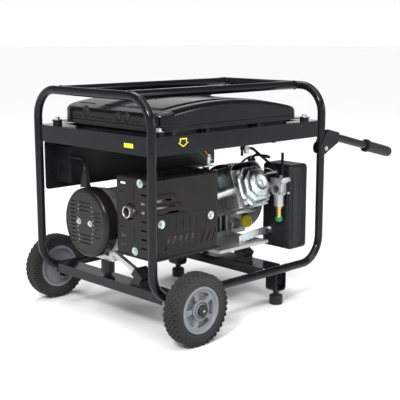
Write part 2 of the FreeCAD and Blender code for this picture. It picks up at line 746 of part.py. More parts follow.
bracket_ring = turned("bracket_ring", [
    (15.06, 62), (COVER_R - 3, 62), (COVER_R - 3, 70), (96, 98), (84, 98), (84, 72),
    (30, 72), (30, 92), (15.06, 92)], on_shaft(0))
bracket_foot = box(at(62, 245, 180), 34, 150, 14)
foot_legs = [box(at(62, y, 186), 34, 16, 40) for y in (250, 378)]
foot_pad = box(at(62.3, 263, 178.5), 34, 40, 12)
bracket_arm = box(at(62, 151.5, 164), 14, 106, 13, Rotation(X_AXIS, 20))
feet = cut(fuse(bracket_foot, bracket_arm, foot_pad, *foot_legs),
           rod(shaft_at(61), X_AXIS, 90, 40))
screw_holes = [rod(point + X_AXIS * 40, X_AXIS, 3.0, 60) for point in COVER_SCREWS]
publish("end_bracket", cut(fuse(bracket_ring, feet), *screw_holes))

STATOR_START, STATOR_END = 98.0, 288.0
stator_core = cut(rod(shaft_at(STATOR_START), X_AXIS, "sizes.stator_radius", 190),
                  rod(shaft_at(STATOR_START - 1), X_AXIS, "sizes.rotor_radius + 1.5", 192))
windings = [cut(rod(shaft_at(x), X_AXIS, 82, 14), rod(shaft_at(x - 1), X_AXIS, 66, 16))
            for x in (STATOR_START - 14, STATOR_END)]
publish("stator", fuse(stator_core, *windings))

rotor_core = turned("rotor_core", [
    (0, 66), (15, 66), (15, 100), (20, 106), (S["rotor_radius"], 106),
    (S["rotor_radius"], 280), (22, 280), (22, 300), (24, 304), (24, 396), (0, 396)],
    on_shaft(0))
fan_hub = turned("fan_hub", [(23, 312), (30, 312), (32, 318), (80, 330), (80, 332),
                             (34, 324), (30, 342), (23, 342)], on_shaft(0))
blades = []
for number in range(12):
    turn = Rotation(X_AXIS, number * 30)
    corner = shaft_at(321) + turn.multVec(Vector(0, 33, -1))
    blades.append(box(corner, 16, 45, 2, turn))
publish("rotor", fuse(rotor_core, fan_hub, *blades))

front_cone = turned("front_cone", [
    (84, 288), (99, 288), (99, 302), (94, 306), (94, 370), (103, 378), (103, 392), (40, 392),
    (40, 384), (86, 384), (88, 376), (88, 300), (84, 296)], on_shaft(0))
vents = []
for number in range(8):
    turn = Rotation(X_AXIS, number * 45 + 22.5)
    corner = shaft_at(312) + turn.multVec(Vector(0, 80, -16))
    vents.append(box(corner, 52, 40, 32, turn))
publish("front_bracket", cut(front_cone, *vents))

# ---------------------------------------------------------------- engine
CYL_X = S["cylinder_x"]
TILT = S["cylinder_tilt"]
CASE_START, CASE_END = 392.0, 598.0
BASE_TOP = 193.5

# The cylinder's own frame: Z runs outwards along the bore, X stays along the crank.
CYL = Placement(at(CYL_X, CRANK_Y, CRANK_Z), Rotation(X_AXIS, 90 - TILT))


def in_cylinder(item):
    """Move a piece made about the crank centre into the tilted cylinder frame."""
    item.Placement = CYL.multiply(item.Placement)
    return item


def cyl_box(x, y, z, length, width, height):
    """A box in the cylinder frame, centred on x and y and starting at z."""
    return in_cylinder(box(Vector(x - length / 2, y - width / 2, z), length, width, height))


def cyl_rod(x, y, z, radius, height, direction=Z_AXIS):
    return in_cylinder(rod(Vector(x, y, z), direction, radius, height))


case_drum = rod(shaft_at(CASE_START), X_AXIS, 96, CASE_END - CASE_START)
case_block = box(at(CASE_START, 232, 205), CASE_END - CASE_START, 184, 90)
case_pad = cyl_box(0, 0, 50, 126, 126, 48)
case_foot = box(at(CASE_START, 222, BASE_TOP), CASE_END - CASE_START, 206, 15)
cavity = rod(shaft_at(CASE_START + 10), X_AXIS, 84, CASE_END - CASE_START - 20)
shaft_hole = rod(shaft_at(CASE_START - 1), X_AXIS, 24.06, CASE_END - CASE_START + 2)
bore_hole = cyl_rod(0, 0, 40, S["bore_radius"] + 4, 70)
GOVERNOR = at(586, 300, 392.4)
governor_boss = cut(rod(GOVERNOR - Z_AXIS * 22.4, Z_AXIS, 8, 22),
                    rod(GOVERNOR - Z_AXIS * 30, Z_AXIS, 4.06, 40))
FILL = at(572, 226, 222)
FILL_DIR = Vector(0, -math.cos(math.radians(20)), math.sin(math.radians(20)))
fill_neck = rod(FILL - FILL_DIR * 24, FILL_DIR, 15, 48)
fill_bore = rod(FILL - FILL_DIR * 40, FILL_DIR, 9, 80)
crankcase = cut(fuse(case_drum, case_block, case_pad, case_foot, fill_neck, governor_boss),
                cavity, shaft_hole, bore_hole, fill_bore)

crank = turned("crank", [(0, 396.0), (24, 396.0), (24, 470), (0, 470)], on_shaft(0))
webs = [cut(rod(shaft_at(x), X_AXIS, 62, 18),
            box(shaft_at(x - 1) + Vector(0, -70, 18), 20, 140, 60)) for x in (470, 522)]
web_tops = [box(shaft_at(x) + Vector(0, -24, -10), 18, 48, 62) for x in (470, 522)]
pin = rod(shaft_at(487) + Vector(0, 0, 33), X_AXIS, 19, 36)
tail = turned("tail", [(0, 540), (24, 540), (24, 599), (S["crank_radius"], 602),
                       (S["crank_radius"], 642), (8, 646), (8, 652), (0, 652)], on_shaft(0))
publish("crankshaft", fuse(crank, *webs, *web_tops, pin, tail))

wheel_disc = turned("wheel_disc", [
    (S["crank_radius"] + 0.02, 606), (30, 606), (34, 616), (84, 616), (90, 606), (100, 606),
    (100, 636), (96, 640), (40, 640), (S["crank_radius"] + 0.02, 640)], on_shaft(0))
fins = []
for number in range(16):
    turn = Rotation(X_AXIS, number * 22.5)
    corner = shaft_at(639.5) + turn.multVec(Vector(0, 58, -1.5))
    fins.append(box(corner, 14, 38, 3, turn))
publish("flywheel", fuse(wheel_disc, *fins))

housing = turned("housing", [
    (113, 599), (113, 664), ("arc", (110.5, 670.5), (104, 673)), (60, 673), (60, 671.5),
    (103.5, 671.5), ("arc", (109.4, 669), (111.5, 663.5)), (111.5, 599)], on_shaft(0))
starter_vents = []
for number in range(10):
    turn = Rotation(X_AXIS, number * 36)
    corner = shaft_at(678) + turn.multVec(Vector(0, 26, -3.5))
    starter_vents.append(box(corner, 12, 36, 7, turn))
starter = turned("starter", [
    (0, 686), (56, 686), ("arc", (63.5, 683), (67, 676)), (68, 673.2), (64, 673.2),
    (58.5, 684), (0, 684)], on_shaft(0))
starter_lip = cut(rod(shaft_at(673.2), X_AXIS, 76, 2), rod(shaft_at(672), X_AXIS, 64, 5))
publish("recoil_cover", cut(fuse(starter, starter_lip), *starter_vents))

GRIP_Z = 300.0
grip_guide = cut(box(at(640, CRANK_Y + 111.6, GRIP_Z - 14), 24, 13.9, 28),
                 rod(at(652, CRANK_Y + 100, GRIP_Z), Y_AXIS, 4, 40))
publish("blower_housing", fuse(housing, grip_guide))
grip = fuse(box(at(641, CRANK_Y + 126.2, GRIP_Z - 45), 22, 18, 90),
            rod(at(652, CRANK_Y + 118, GRIP_Z), Y_AXIS, 3, 10))
publish("recoil_grip", round_edges(grip, 6, lambda edge: runs_along(Z_AXIS)(edge)
                                   and edge.Length > 80))

# The finned barrel, the head and the rocker cover stand on the crankcase pad.
BARREL_START, BARREL_END = 98.0, 172.0
barrel = cyl_rod(0, 0, BARREL_START, 54, BARREL_END - BARREL_START)
barrel_fins = [cyl_box(0, 0, BARREL_START + 6 + 10 * n, 122, 118, 2.5) for n in range(7)]
liner = cyl_rod(0, 0, 60, "sizes.bore_radius", BARREL_END - 58)
publish("engine_block", cut(fuse(crankcase, barrel, *barrel_fins), liner))

head_core = cyl_box(0, 0, BARREL_END, 112, 104, 60)
head_fins = [cyl_box(0, 0, BARREL_END + 2 + 9 * n, 126, 118, 3) for n in range(5)]
PLUG = (48, 40)
port = cyl_rod(-66, 0, 205, 18.2, 14, X_AXIS)
plug_holes = [cyl_rod(PLUG[0], 44, BARREL_END + 30, 7, 30, Y_AXIS),
              cyl_rod(PLUG[0], 52.2, BARREL_END + 30, 12, 30, Y_AXIS)]
publish("cylinder_head", cut(fuse(head_core, port, *head_fins), *plug_holes))


def octagon(length, width, chamfer, z):
    a, b = length / 2, width / 2
    c = chamfer
    corners = [(-a, -b + c), (-a + c, -b), (a - c, -b), (a, -b + c), (a, b - c), (a - c, b),
               (-a + c, b), (-a, b - c)]
    points = [Vector(x, y, z) for x, y in corners]
    return Part.makePolygon(points + [points[0]])


HEAD_TOP = BARREL_END + 60.0


def cover_form(inset):
    skirt = Part.makeLoft([octagon(112 - 2 * inset, 106 - 2 * inset, 30, HEAD_TOP - inset),
                           octagon(98 - 2 * inset, 92 - 2 * inset, 26, HEAD_TOP + 30 - inset)],
                          True, True)
    return skirt


rim_plate = Part.Face(octagon(128, 122, 36, HEAD_TOP)).extrude(Vector(0, 0, 3.5))
cover_outer = cover_form(0).fuse(rim_plate)
dish = Part.makeSphere(60, Vector(0, 0, HEAD_TOP + 30 + 54))
cover_solid = cover_outer.cut(cover_form(2.0)).cut(dish)
dish_shell = Part.makeSphere(62, Vector(0, 0, HEAD_TOP + 30 + 54)).common(
    Part.makeCylinder(30, 12, Vector(0, 0, HEAD_TOP + 18))).cut(
        Part.makeSphere(60, Vector(0, 0, HEAD_TOP + 30 + 54)))
cover_solid = cover_solid.fuse(dish_shell).removeSplitter()
valve_cover = feature(cover_solid, "rocker_cover")
valve_cover.Placement = CYL
publish("valve_cover", valve_cover)

plug_base = Vector(PLUG[0], 52.5, BARREL_END + 30)
spark = fuse(in_cylinder(rod(plug_base - Y_AXIS * 8, Y_AXIS, 6.9, 16)),
             in_cylinder(hexagon(plug_base + Y_AXIS * 7, Y_AXIS, 19, 8)),
             in_cylinder(rod(plug_base + Y_AXIS * 15, Y_AXIS, 8.5, 22)),
             in_cylinder(rod(plug_base + Vector(-5, 33, 0), Vector(1, 0, 0), 7, 22)))
publish("spark_plug", spark)

piston_body = cyl_rod(0, 0, 108, "sizes.bore_radius - 0.05", 58)
piston_core = cyl_rod(0, 0, 107, S["bore_radius"] - 6, 48)
gudgeon = in_cylinder(rod(Vector(-40, 0, 132), X_AXIS, 9, 80))
piston_shell = cut(piston_body, piston_core)
rod_eye = in_cylinder(rod(Vector(-11, 0, 132), X_AXIS, 15, 22))
rod_shank = cyl_box(0, 0, 68, 16, 20, 54)
publish("piston", fuse(piston_shell, gudgeon, rod_eye, rod_shank))

# A bright sheet shroud covers the top and the muffler side of barrel and head.
publish("cooling_shroud", cut(
    cyl_box(0, 33, 100, 136, 90, 120), cyl_box(0, 31.5, 99, 133, 90, 122),
    cyl_rod(-80, 0, 205, 21, 30, X_AXIS), cyl_rod(PLUG[0], 60, BARREL_END + 30, 13, 40, Y_AXIS),
    cyl_box(75, 0, 90, 20, 200, 140)))

# The base plate under the engine and the four rubber mounts on the cross rails.
base_plate = box(at(396, 84, BASE_TOP - 9.5), 160, 330, 9.5)
base_lip = box(at(340, 84, BASE_TOP - 9.5), 56, 60, 9.5)
publish("engine_base", fuse(base_plate, base_lip))
RAIL = S["cross_rail_top"]


def upright_mount(x, y, top):
    body = rod(at(x, y, RAIL + 9), Z_AXIS, 20, top - RAIL - 9)
    return fuse(body, rod(at(x, y, RAIL + 2), Z_AXIS, 8, 7), rod(at(x, y, RAIL), Z_AXIS, 13, 2))


def tilted_mount(x, y, z, lean):
    """A square rubber block set at a slant, on a flat foot."""
    turn = Rotation(X_AXIS, lean)
    block = box(at(x - 22, y, z), 44, 40, 26, turn)
    foot = box(at(x - 22, y - 6, RAIL), 44, 40, 14)
    return fuse(block, foot)


mounts = [upright_mount(71, 283, 178.5), tilted_mount(71, 119, 139.5, 38),
          upright_mount(490, 390, BASE_TOP - 9.5), tilted_mount(478, 104, 141, 28)]
publish("rubber_mounts", group(*mounts))

# ---------------------------------------------------------------- fuel and air
CARB_X, CARB_Y = 584.0, 66.0
flange_low = box(at(570.5, CARB_Y - 24, 376), 28.5, 48, 14)
throat = rod(at(570.5, CARB_Y + 2, 356), X_AXIS, 18.8, 28.5)
intake_spacer = box(at(571.5, CARB_Y + 16, 344), 24.5, 50, 28)
neck_body = box(at(571, CARB_Y - 18, 338), 26, 36, 44)
bowl = rod(at(CARB_X, CARB_Y, 302), Z_AXIS, 15.5, 38)
carb_bore = rod(at(560, CARB_Y + 2, 356), X_AXIS, 12, 50)
CHOKE = at(CARB_X + 2, CARB_Y - 8, 396)
choke_post = fuse(rod(CHOKE - X_AXIS * 6, X_AXIS, 4, 5.7),
                  box(CHOKE + Vector(-6, -4, -12), 5.7, 8, 12))
publish("carburettor", cut(fuse(flange_low, throat, intake_spacer, neck_body, bowl, choke_post),
                           carb_bore))
solenoid = turned("solenoid", [
    (0, 252), (7, 252), (9.5, 255), (9.5, 268), (8, 270), (8, 294), (11, 294), (11, 302),
    (0, 302)], Placement(at(CARB_X, CARB_Y, 0), Rotation()))
publish("fuel_solenoid", solenoid)
publish("choke_lever", round_edges(
    fuse(rod(CHOKE, X_AXIS, 6, 4), box(CHOKE + Vector(0, -5, 0), 4, 10, 74)),
    1.5, lambda edge: edge.Length > 60))
AIR_X, AIR_Y = (600.0, 685.0), (30.0, 155.0)
AIR_LOW, AIR_TOP, AIR_SPLIT = 160.0, 430.0, 642.0


def air_form(inset):
    solid = rounded_plate(AIR_X[1] - AIR_X[0] - 2 * inset, AIR_Y[1] - AIR_Y[0] - 2 * inset,
                          AIR_TOP - AIR_LOW - 2 * inset, 16 - inset, AIR_LOW + inset,
                          (at(sum(AIR_X) / 2, 0, 0).x, at(0, sum(AIR_Y) / 2, 0).y))
    ends = [edge for edge in solid.Edges if edge.BoundBox.ZLength < 0.01]
    return solid.makeFillet(12 - inset, ends)


air_shell = cut(feature(air_form(0)), feature(air_form(2.5)))
inlet = rod(at(596, CARB_Y + 2, 356), X_AXIS, 14, 10)
publish("air_box", cut(common(air_shell, box(at(590, 0, 150), AIR_SPLIT - 590, 200, 300)), inlet))
publish("air_box_cover", common(air_shell, box(at(AIR_SPLIT + 0.4, 0, 150), 60, 200, 300)))
publish("air_filter", cut(box(at(618, 48, 200), 40, 88, 190), box(at(626, 60, 190), 24, 64, 210)))

hose_points = [at(536, 150, 480), at(548, 150, 480), at(566, 140, 462), at(580, 114, 438),
               at(584, 78, 416), at(584, 78, 390.3)]
hose_bends = [22, 30, 34, 40]
publish("fuel_hose", sweep(bent_path(hose_points, hose_bends), 4.2))

# ---------------------------------------------------------------- exhaust
GUARD_X, GUARD_Y = (40.0, 293.0), (40.0, 206.0)
GUARD_LOW, GUARD_TOP = 219.0, 447.0
OUTLET_Y, OUTLET_Z = 140.0, 348.0


def guard_form(inset):
    solid = rounded_plate(GUARD_X[1] - GUARD_X[0] - 2 * inset,
                          GUARD_Y[1] - GUARD_Y[0] - 2 * inset,
                          GUARD_TOP - GUARD_LOW - 2 * inset, 14 - inset, GUARD_LOW + inset,
                          (at(sum(GUARD_X) / 2, 0, 0).x, at(0, sum(GUARD_Y) / 2, 0).y))
    top = [edge for edge in solid.Edges if edge.BoundBox.ZMin > GUARD_TOP - inset - 0.1]
    return solid.makeFillet(8 - inset, top)


end_slots = []
for number in range(8):
    z = 248 + 25 * number
    for y in (82, 172):
        if abs(z - OUTLET_Z) > 30 or y < 100:
            end_slots.append(box(at(36, y - 13, z), 10, 26, 6))
end_slots.append(rod(at(30, OUTLET_Y, OUTLET_Z), X_AXIS, 25, 20))
front_slots = [box(at(80 + 22.5 * n, 30, 247), 5, 20, 38, Rotation(Y_AXIS, 24))
               for n in range(9)]
front_slots += [box(at(44 + 0 * n, 36, 384 - 18 * n), 62 + 14 * n, 10, 7) for n in range(3)]
front_slots += [rod(at(x, 30, 322), Y_AXIS, 3.1, 20) for x in (68, 257)]
front_slots += [rod(at(30, y, z), X_AXIS, 3.1, 20) for y, z in ((96, 432), (120, 238))]
front_slots.append(rod(at(280, 127.4, 347), X_AXIS, 19, 30))
open_back = box(at(GUARD_X[0] + 20, GUARD_Y[1] - 10, GUARD_LOW + 12),
                GUARD_X[1] - GUARD_X[0] - 40, 20, GUARD_TOP - GUARD_LOW - 24)
guard_shell = cut(feature(guard_form(0)), feature(guard_form(1.5)), open_back, *end_slots,
                  *front_slots)
publish("muffler_guard", guard_shell)

muffler_solid = rounded_plate(210, 112, 186, 40, 238, (at(166, 0, 0).x, at(0, 128, 0).y))
muffler_void = rounded_plate(207, 109, 183, 38.5, 239.5, (at(166, 0, 0).x, at(0, 128, 0).y))
tailpipe = rod(at(33, OUTLET_Y, OUTLET_Z), X_AXIS, 17.5, 32)
tailpipe_bore = rod(at(30, OUTLET_Y, OUTLET_Z), X_AXIS, 15.5, 50)
muffler_posts = [rod(at(x, 42, 322), Y_AXIS, 6, 56) for x in (68, 257)]
post_holes = [rod(at(x, 40, 322), Y_AXIS, 3.0, 26) for x in (68, 257)]
pipe_points = [CYL.multVec(Vector(-66.1, 0, 205)), CYL.multVec(Vector(-90, 0, 205)),
               at(330, 128, 350), at(267, 128, 345)]
exhaust_pipe = sweep(bent_path(pipe_points, [50, 60]), 15)
exhaust_bore = sweep(bent_path(pipe_points, [50, 60]), 12.5)

muffler = cut(fuse(feature(muffler_solid), tailpipe, exhaust_pipe, *muffler_posts),
              feature(muffler_void), tailpipe_bore, exhaust_bore, *post_holes)
publish("muffler", muffler)

def casing_screw(point, direction, length):
    """A washer and a hexagon head screw; direction points into the machine."""
    return fuse(rod(point - direction * 1.6, direction, 9, 1.6),
                hexagon(point - direction * 6.6, direction, 10, 5),
                rod(point - direction * 2, direction, 3.0, length))


screws = [casing_screw(at(x, GUARD_Y[0], 322), Y_AXIS, 24) for x in (68, 257)]
screws += [casing_screw(at(GUARD_X[0], y, z), X_AXIS, 8) for y, z in ((96, 432), (120, 238))]
screws += [casing_screw(point, X_AXIS, 56) for point in COVER_SCREWS]
publish("fasteners", group(*screws, *tank_bolts, *pivot_bolts))

# ---------------------------------------------------------------- loose details
strap_points = [(448, BASE_TOP), (500, 201), (548, 207), (548, 230), (500, 226), (448, 219)]
strap_wire = Part.makePolygon([at(x, 107, z) for x, z in strap_points + [strap_points[0]]])
strap = feature(Part.Face(strap_wire).extrude(Vector(0, 3, 0)))
strap_tab = box(at(546, 107, 206), 53.7, 3, 24)
strap_slot = box(at(572, 100, 214), 14, 20, 7)
strap_foot = box(at(448, 107, BASE_TOP), 30, 20, 3)
publish("air_box_strap", cut(fuse(strap, strap_tab, strap_foot), strap_slot))

dip_start = FILL + FILL_DIR * 24.3
dip_turn = Rotation(Z_AXIS, FILL_DIR)
publish("oil_dipstick", turned("oil_dipstick", [
    (0, -40), (2, -40), (2, -10), (8.8, -10), (8.8, 0), (18, 0), (20, 3), (20, 16), (14, 20),
    (0, 20)], Placement(dip_start, dip_turn)))

governor_arm = fuse(rod(GOVERNOR, Z_AXIS, 8, 5), box(GOVERNOR + Vector(-6, -95, 1), 12, 95, 3),
                    rod(GOVERNOR + Vector(0, -95, 1), Z_AXIS, 6, 3))
publish("governor_lever", fuse(governor_arm, rod(GOVERNOR - Z_AXIS * 7, Z_AXIS, 4, 7)))

boot = turned("boot", [(0, 0), (16, 0), (14, 8), (10, 30), (8, 44), (6, 46), (0, 46)],
               Placement(at(42, 345, 393), Rotation()))
conduit_points = [at(42, 345, 396), at(42, 345, 452), at(64, 382, 470), at(64, 440.6, 470)]
publish("conduit", fuse(boot, sweep(bent_path(conduit_points, [26, 30]), 5.8)))

# ---------------------------------------------------------------- checks, export
doc.recompute()
failed = [item.Name for item in doc.Objects
          if "Invalid" in item.State or "Error" in item.State]
if failed:
    raise ValueError(f"these objects failed: {failed}")
for item in NODES:
    if item.Shape.isNull() or not item.Shape.isValid():
        raise ValueError(f"{item.Label} has no valid shape")
for item in NODES:
    item.Shape.exportStep(f"parts/{item.Label}.step")
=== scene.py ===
import math
import random

import bmesh
import bpy
from mathutils import Matrix, Vector
from mathutils.bvhtree import BVHTree


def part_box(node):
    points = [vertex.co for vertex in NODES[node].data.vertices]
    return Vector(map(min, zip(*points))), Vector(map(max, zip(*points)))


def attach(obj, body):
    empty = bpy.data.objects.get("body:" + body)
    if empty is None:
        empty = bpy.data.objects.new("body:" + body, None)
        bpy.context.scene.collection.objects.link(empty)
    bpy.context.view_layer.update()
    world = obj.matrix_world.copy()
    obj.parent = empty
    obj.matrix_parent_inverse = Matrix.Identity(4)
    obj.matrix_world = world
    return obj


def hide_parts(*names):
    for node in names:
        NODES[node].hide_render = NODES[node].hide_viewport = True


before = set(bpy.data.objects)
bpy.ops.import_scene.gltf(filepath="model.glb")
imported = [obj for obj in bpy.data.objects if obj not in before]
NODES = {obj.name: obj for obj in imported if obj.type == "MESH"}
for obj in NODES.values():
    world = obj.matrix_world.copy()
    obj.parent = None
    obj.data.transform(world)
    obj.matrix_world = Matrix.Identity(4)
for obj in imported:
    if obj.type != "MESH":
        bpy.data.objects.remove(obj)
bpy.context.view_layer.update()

MM = 0.001

# Places are millimetres from the near left leg's axis on the floor, as on the drawing.
TUBE_R = 12.7
HOOP_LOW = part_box("left_hoop")[0]
ORIGIN = Vector((HOOP_LOW.x + TUBE_R * MM, HOOP_LOW.y + TUBE_R * MM, 0))


def at(x, y, z):
    """The world point at a drawing place in mm."""
    return ORIGIN + Vector((x, y, z)) * MM


# ---------------------------------------------------------------- materials
def new_node(tree, kind, **inputs):
    """Adds a shader node; each keyword sets the input of that name, with _ for a space."""
    node = tree.nodes.new("ShaderNode" + kind)
    for name, value in inputs.items():
        node.inputs[name.replace("_", " ")].default_value = value
    return node


def noise(tree, where, scale, detail=3.0):
    """The output of a noise texture of that scale."""
    node = new_node(tree, "TexNoise", Scale=scale, Detail=detail)
    tree.links.new(where, node.inputs["Vector"])
    return node.outputs["Fac"]


def ramp(tree, fac, low, high):
    """Stretches a factor so that it runs from 0 at low to 1 at high."""
    node = new_node(tree, "MapRange", From_Min=low, From_Max=high)
    tree.links.new(fac, node.inputs["Value"])
    return node.outputs["Result"]


def mixed(tree, fac, first, second):
    """A colour between first and second; either may be a colour or a socket."""
    node = tree.nodes.new("ShaderNodeMix")
    node.data_type = "RGBA"
    tree.links.new(fac, node.inputs["Factor"])
    for socket, value in ((node.inputs[6], first), (node.inputs[7], second)):
        if isinstance(value, bpy.types.NodeSocket):
            tree.links.new(value, socket)
        else:
            socket.default_value = (*value, 1.0)
    return node.outputs[2]


def shade(colour, factor):
    """The colour made darker or lighter by a factor."""
    return tuple(min(1.0, c * factor) for c in colour)


def finish(name, colour, rough, metal=0.0, grain=900.0, bump=0.15, depth=0.15, mottle=0.18,
           spread=0.08, coat=0.0, stretch=(1, 1, 1), edge_wear_and_highlight=None, dust=0.0, shine=0.5):
    """A procedural surface: cloudy colour, fine specks, uneven gloss, a grain and edges lightened
    as wear and painted highlight.
    """
    material = bpy.data.materials.new(name)
    material.use_nodes = True
    tree = material.node_tree
    surface = tree.nodes["Principled BSDF"]
    surface.inputs["Metallic"].default_value = metal
    surface.inputs["Coat Weight"].default_value = coat
    surface.inputs["Specular IOR Level"].default_value = shine
    surface.inputs["Coat Roughness"].default_value = 0.08
    place = tree.nodes.new("ShaderNodeTexCoord").outputs["Object"]
    if stretch != (1, 1, 1):
        mapping = new_node(tree, "Mapping", Scale=stretch)
        tree.links.new(place, mapping.inputs["Vector"])
        place = mapping.outputs["Vector"]
    fine = noise(tree, place, grain, 2.0)
    cloudy = noise(tree, place, 22.0, 4.0)
    base = mixed(tree, ramp(tree, cloudy, 0.3, 0.7), shade(colour, 1 - mottle),
                 shade(colour, 1 + mottle))
    base = mixed(tree, ramp(tree, fine, 0.52, 0.78), base, shade(colour, 1 + 2.2 * mottle))
    # Lighter colour along the edges from the bevel mask: partly wear, partly a painted highlight on
    # the edges.
    if edge_wear_and_highlight:
        bevel = new_node(tree, "Bevel", Radius=0.0012)
        bevel.samples = 4
        flat = tree.nodes.new("ShaderNodeNewGeometry")
        dot = tree.nodes.new("ShaderNodeVectorMath")
        dot.operation = "DOT_PRODUCT"
        tree.links.new(bevel.outputs["Normal"], dot.inputs[0])
        tree.links.new(flat.outputs["Normal"], dot.inputs[1])
        edge = new_node(tree, "MapRange", From_Min=0.97, From_Max=0.80)
        tree.links.new(dot.outputs["Value"], edge.inputs["Value"])
        base = mixed(tree, edge.outputs["Result"], base, edge_wear_and_highlight)
    if dust:
        high = ramp(tree, noise(tree, place, 9.0, 5.0), 0.45, 0.8)
        thin = new_node(tree, "Math")
        thin.operation = "MULTIPLY"
        tree.links.new(high, thin.inputs[0])
        thin.inputs[1].default_value = dust
        base = mixed(tree, thin.outputs[0], base, (0.30, 0.28, 0.25))
    tree.links.new(base, surface.inputs["Base Color"])
    gloss = new_node(tree, "MapRange", From_Min=0.3, From_Max=0.7,
                     To_Min=max(0.03, rough - spread), To_Max=min(1.0, rough + spread))
    tree.links.new(cloudy, gloss.inputs["Value"])
    tree.links.new(gloss.outputs["Result"], surface.inputs["Roughness"])
    relief = new_node(tree, "Bump", Strength=bump, Distance=depth * MM)
    tree.links.new(fine, relief.inputs["Height"])
    tree.links.new(relief.outputs["Normal"], surface.inputs["Normal"])
    return material


FRAME_PAINT = finish("frame_powder_coat", (0.005, 0.0054, 0.007), 0.12, grain=1500, bump=0.10,
                     depth=0.05, coat=0.10, mottle=0.25, spread=0.04, shine=0.17,
                     edge_wear_and_highlight=(0.04, 0.043, 0.05))
TANK_PAINT = finish("tank_gloss_paint", (0.004, 0.0042, 0.005), 0.14, grain=700, bump=0.02,
                    depth=0.03, coat=0.15, mottle=0.25, spread=0.03, shine=0.18,
                    edge_wear_and_highlight=(0.03, 0.03, 0.035))
GUARD_PAINT = finish("guard_heat_paint", (0.0095, 0.0088, 0.0082), 0.34, grain=1900, bump=0.25,
                     depth=0.06, mottle=0.22, shine=0.18, edge_wear_and_highlight=(0.11, 0.105, 0.10))
PANEL_PAINT = finish("panel_paint", (0.008, 0.009, 0.010), 0.33, grain=1800, bump=0.2,
                     depth=0.05, mottle=0.2, shine=0.25, edge_wear_and_highlight=(0.05, 0.05, 0.055))
ZINC = finish("zinc_plate", (0.50, 0.56, 0.56), 0.30, metal=1.0, grain=420, bump=0.12,
              depth=0.05, mottle=0.16, spread=0.10, edge_wear_and_highlight=(0.8, 0.84, 0.82))
STEEL = finish("machined_steel", (0.50, 0.50, 0.50), 0.34, metal=1.0, grain=900, bump=0.2,
               depth=0.04, mottle=0.12, stretch=(1, 1, 5), edge_wear_and_highlight=(0.75, 0.75, 0.74))
MUFFLER_STEEL = finish("muffler_steel", (0.60, 0.59, 0.56), 0.36, metal=1.0, grain=380,
                       bump=0.2, depth=0.05, mottle=0.16, edge_wear_and_highlight=(0.8, 0.79, 0.76))
CAST = finish("cast_alloy", (0.46, 0.47, 0.475), 0.42, metal=0.85, grain=1300, bump=0.6,
              depth=0.16, mottle=0.16, spread=0.10, edge_wear_and_highlight=(0.78, 0.78, 0.78), dust=0.15)
IRON = finish("cast_iron", (0.14, 0.14, 0.145), 0.55, metal=0.8, grain=900, bump=0.6,
              depth=0.2, edge_wear_and_highlight=(0.4, 0.4, 0.4))
PLASTIC = finish("black_grained_plastic", (0.010, 0.0105, 0.0115), 0.38, grain=2200, bump=0.45,
                 depth=0.05, mottle=0.2, shine=0.28, edge_wear_and_highlight=(0.04, 0.042, 0.045))
COVER_PLASTIC = finish("cover_moulding", (0.009, 0.0082, 0.0078), 0.22, grain=1600, bump=0.2,
                       depth=0.04, mottle=0.2, shine=0.25, edge_wear_and_highlight=(0.09, 0.085, 0.08))
GREY_PLASTIC = finish("wheel_grey_plastic", (0.165, 0.18, 0.195), 0.42, grain=1800, bump=0.35,
                      depth=0.06, mottle=0.10, shine=0.3, edge_wear_and_highlight=(0.30, 0.32, 0.34), dust=0.08)
TYRE = finish("tyre_rubber", (0.017, 0.017, 0.018), 0.70, grain=1300, bump=0.6, depth=0.12,
              mottle=0.25, shine=0.2, edge_wear_and_highlight=(0.07, 0.07, 0.07), dust=0.07)
RUBBER = finish("black_rubber", (0.010, 0.010, 0.0105), 0.42, grain=1700, bump=0.5,
                depth=0.06, mottle=0.2, shine=0.25, edge_wear_and_highlight=(0.04, 0.04, 0.04))
BRASS = finish("brass", (0.60, 0.42, 0.16), 0.32, metal=1.0, grain=700, bump=0.2,
               depth=0.05, mottle=0.15, edge_wear_and_highlight=(0.85, 0.66, 0.3))
YELLOW = finish("yellow_plastic", (0.72, 0.62, 0.03), 0.38, grain=1500, bump=0.25, depth=0.05,
                mottle=0.10, edge_wear_and_highlight=(0.85, 0.78, 0.2))
RED = finish("red_plastic", (0.50, 0.02, 0.015), 0.30, grain=1500, bump=0.2, depth=0.04,
             mottle=0.12)
WHITE = finish("dial_white", (0.78, 0.78, 0.75), 0.35, grain=1500, bump=0.1, depth=0.02,
               mottle=0.04)
ORANGE = finish("orange_sleeve", (0.72, 0.22, 0.02), 0.45, grain=1800, bump=0.3, depth=0.04)
GREEN = finish("green_sleeve", (0.012, 0.17, 0.07), 0.40, grain=1800, bump=0.3, depth=0.04)
FOAM = finish("filter_foam", (0.05, 0.05, 0.055), 0.9, grain=600, bump=1.0, depth=0.8)
WINDING = finish("stator_stack", (0.17, 0.13, 0.11), 0.5, metal=0.5, grain=900, bump=0.5,
                 depth=0.2, stretch=(9, 1, 1), edge_wear_and_highlight=(0.4, 0.36, 0.33))
SHROUD = finish("shroud_plate", (0.52, 0.60, 0.61), 0.38, metal=1.0, grain=380, bump=0.12,
                depth=0.05, mottle=0.18, spread=0.10, edge_wear_and_highlight=(0.8, 0.84, 0.84))

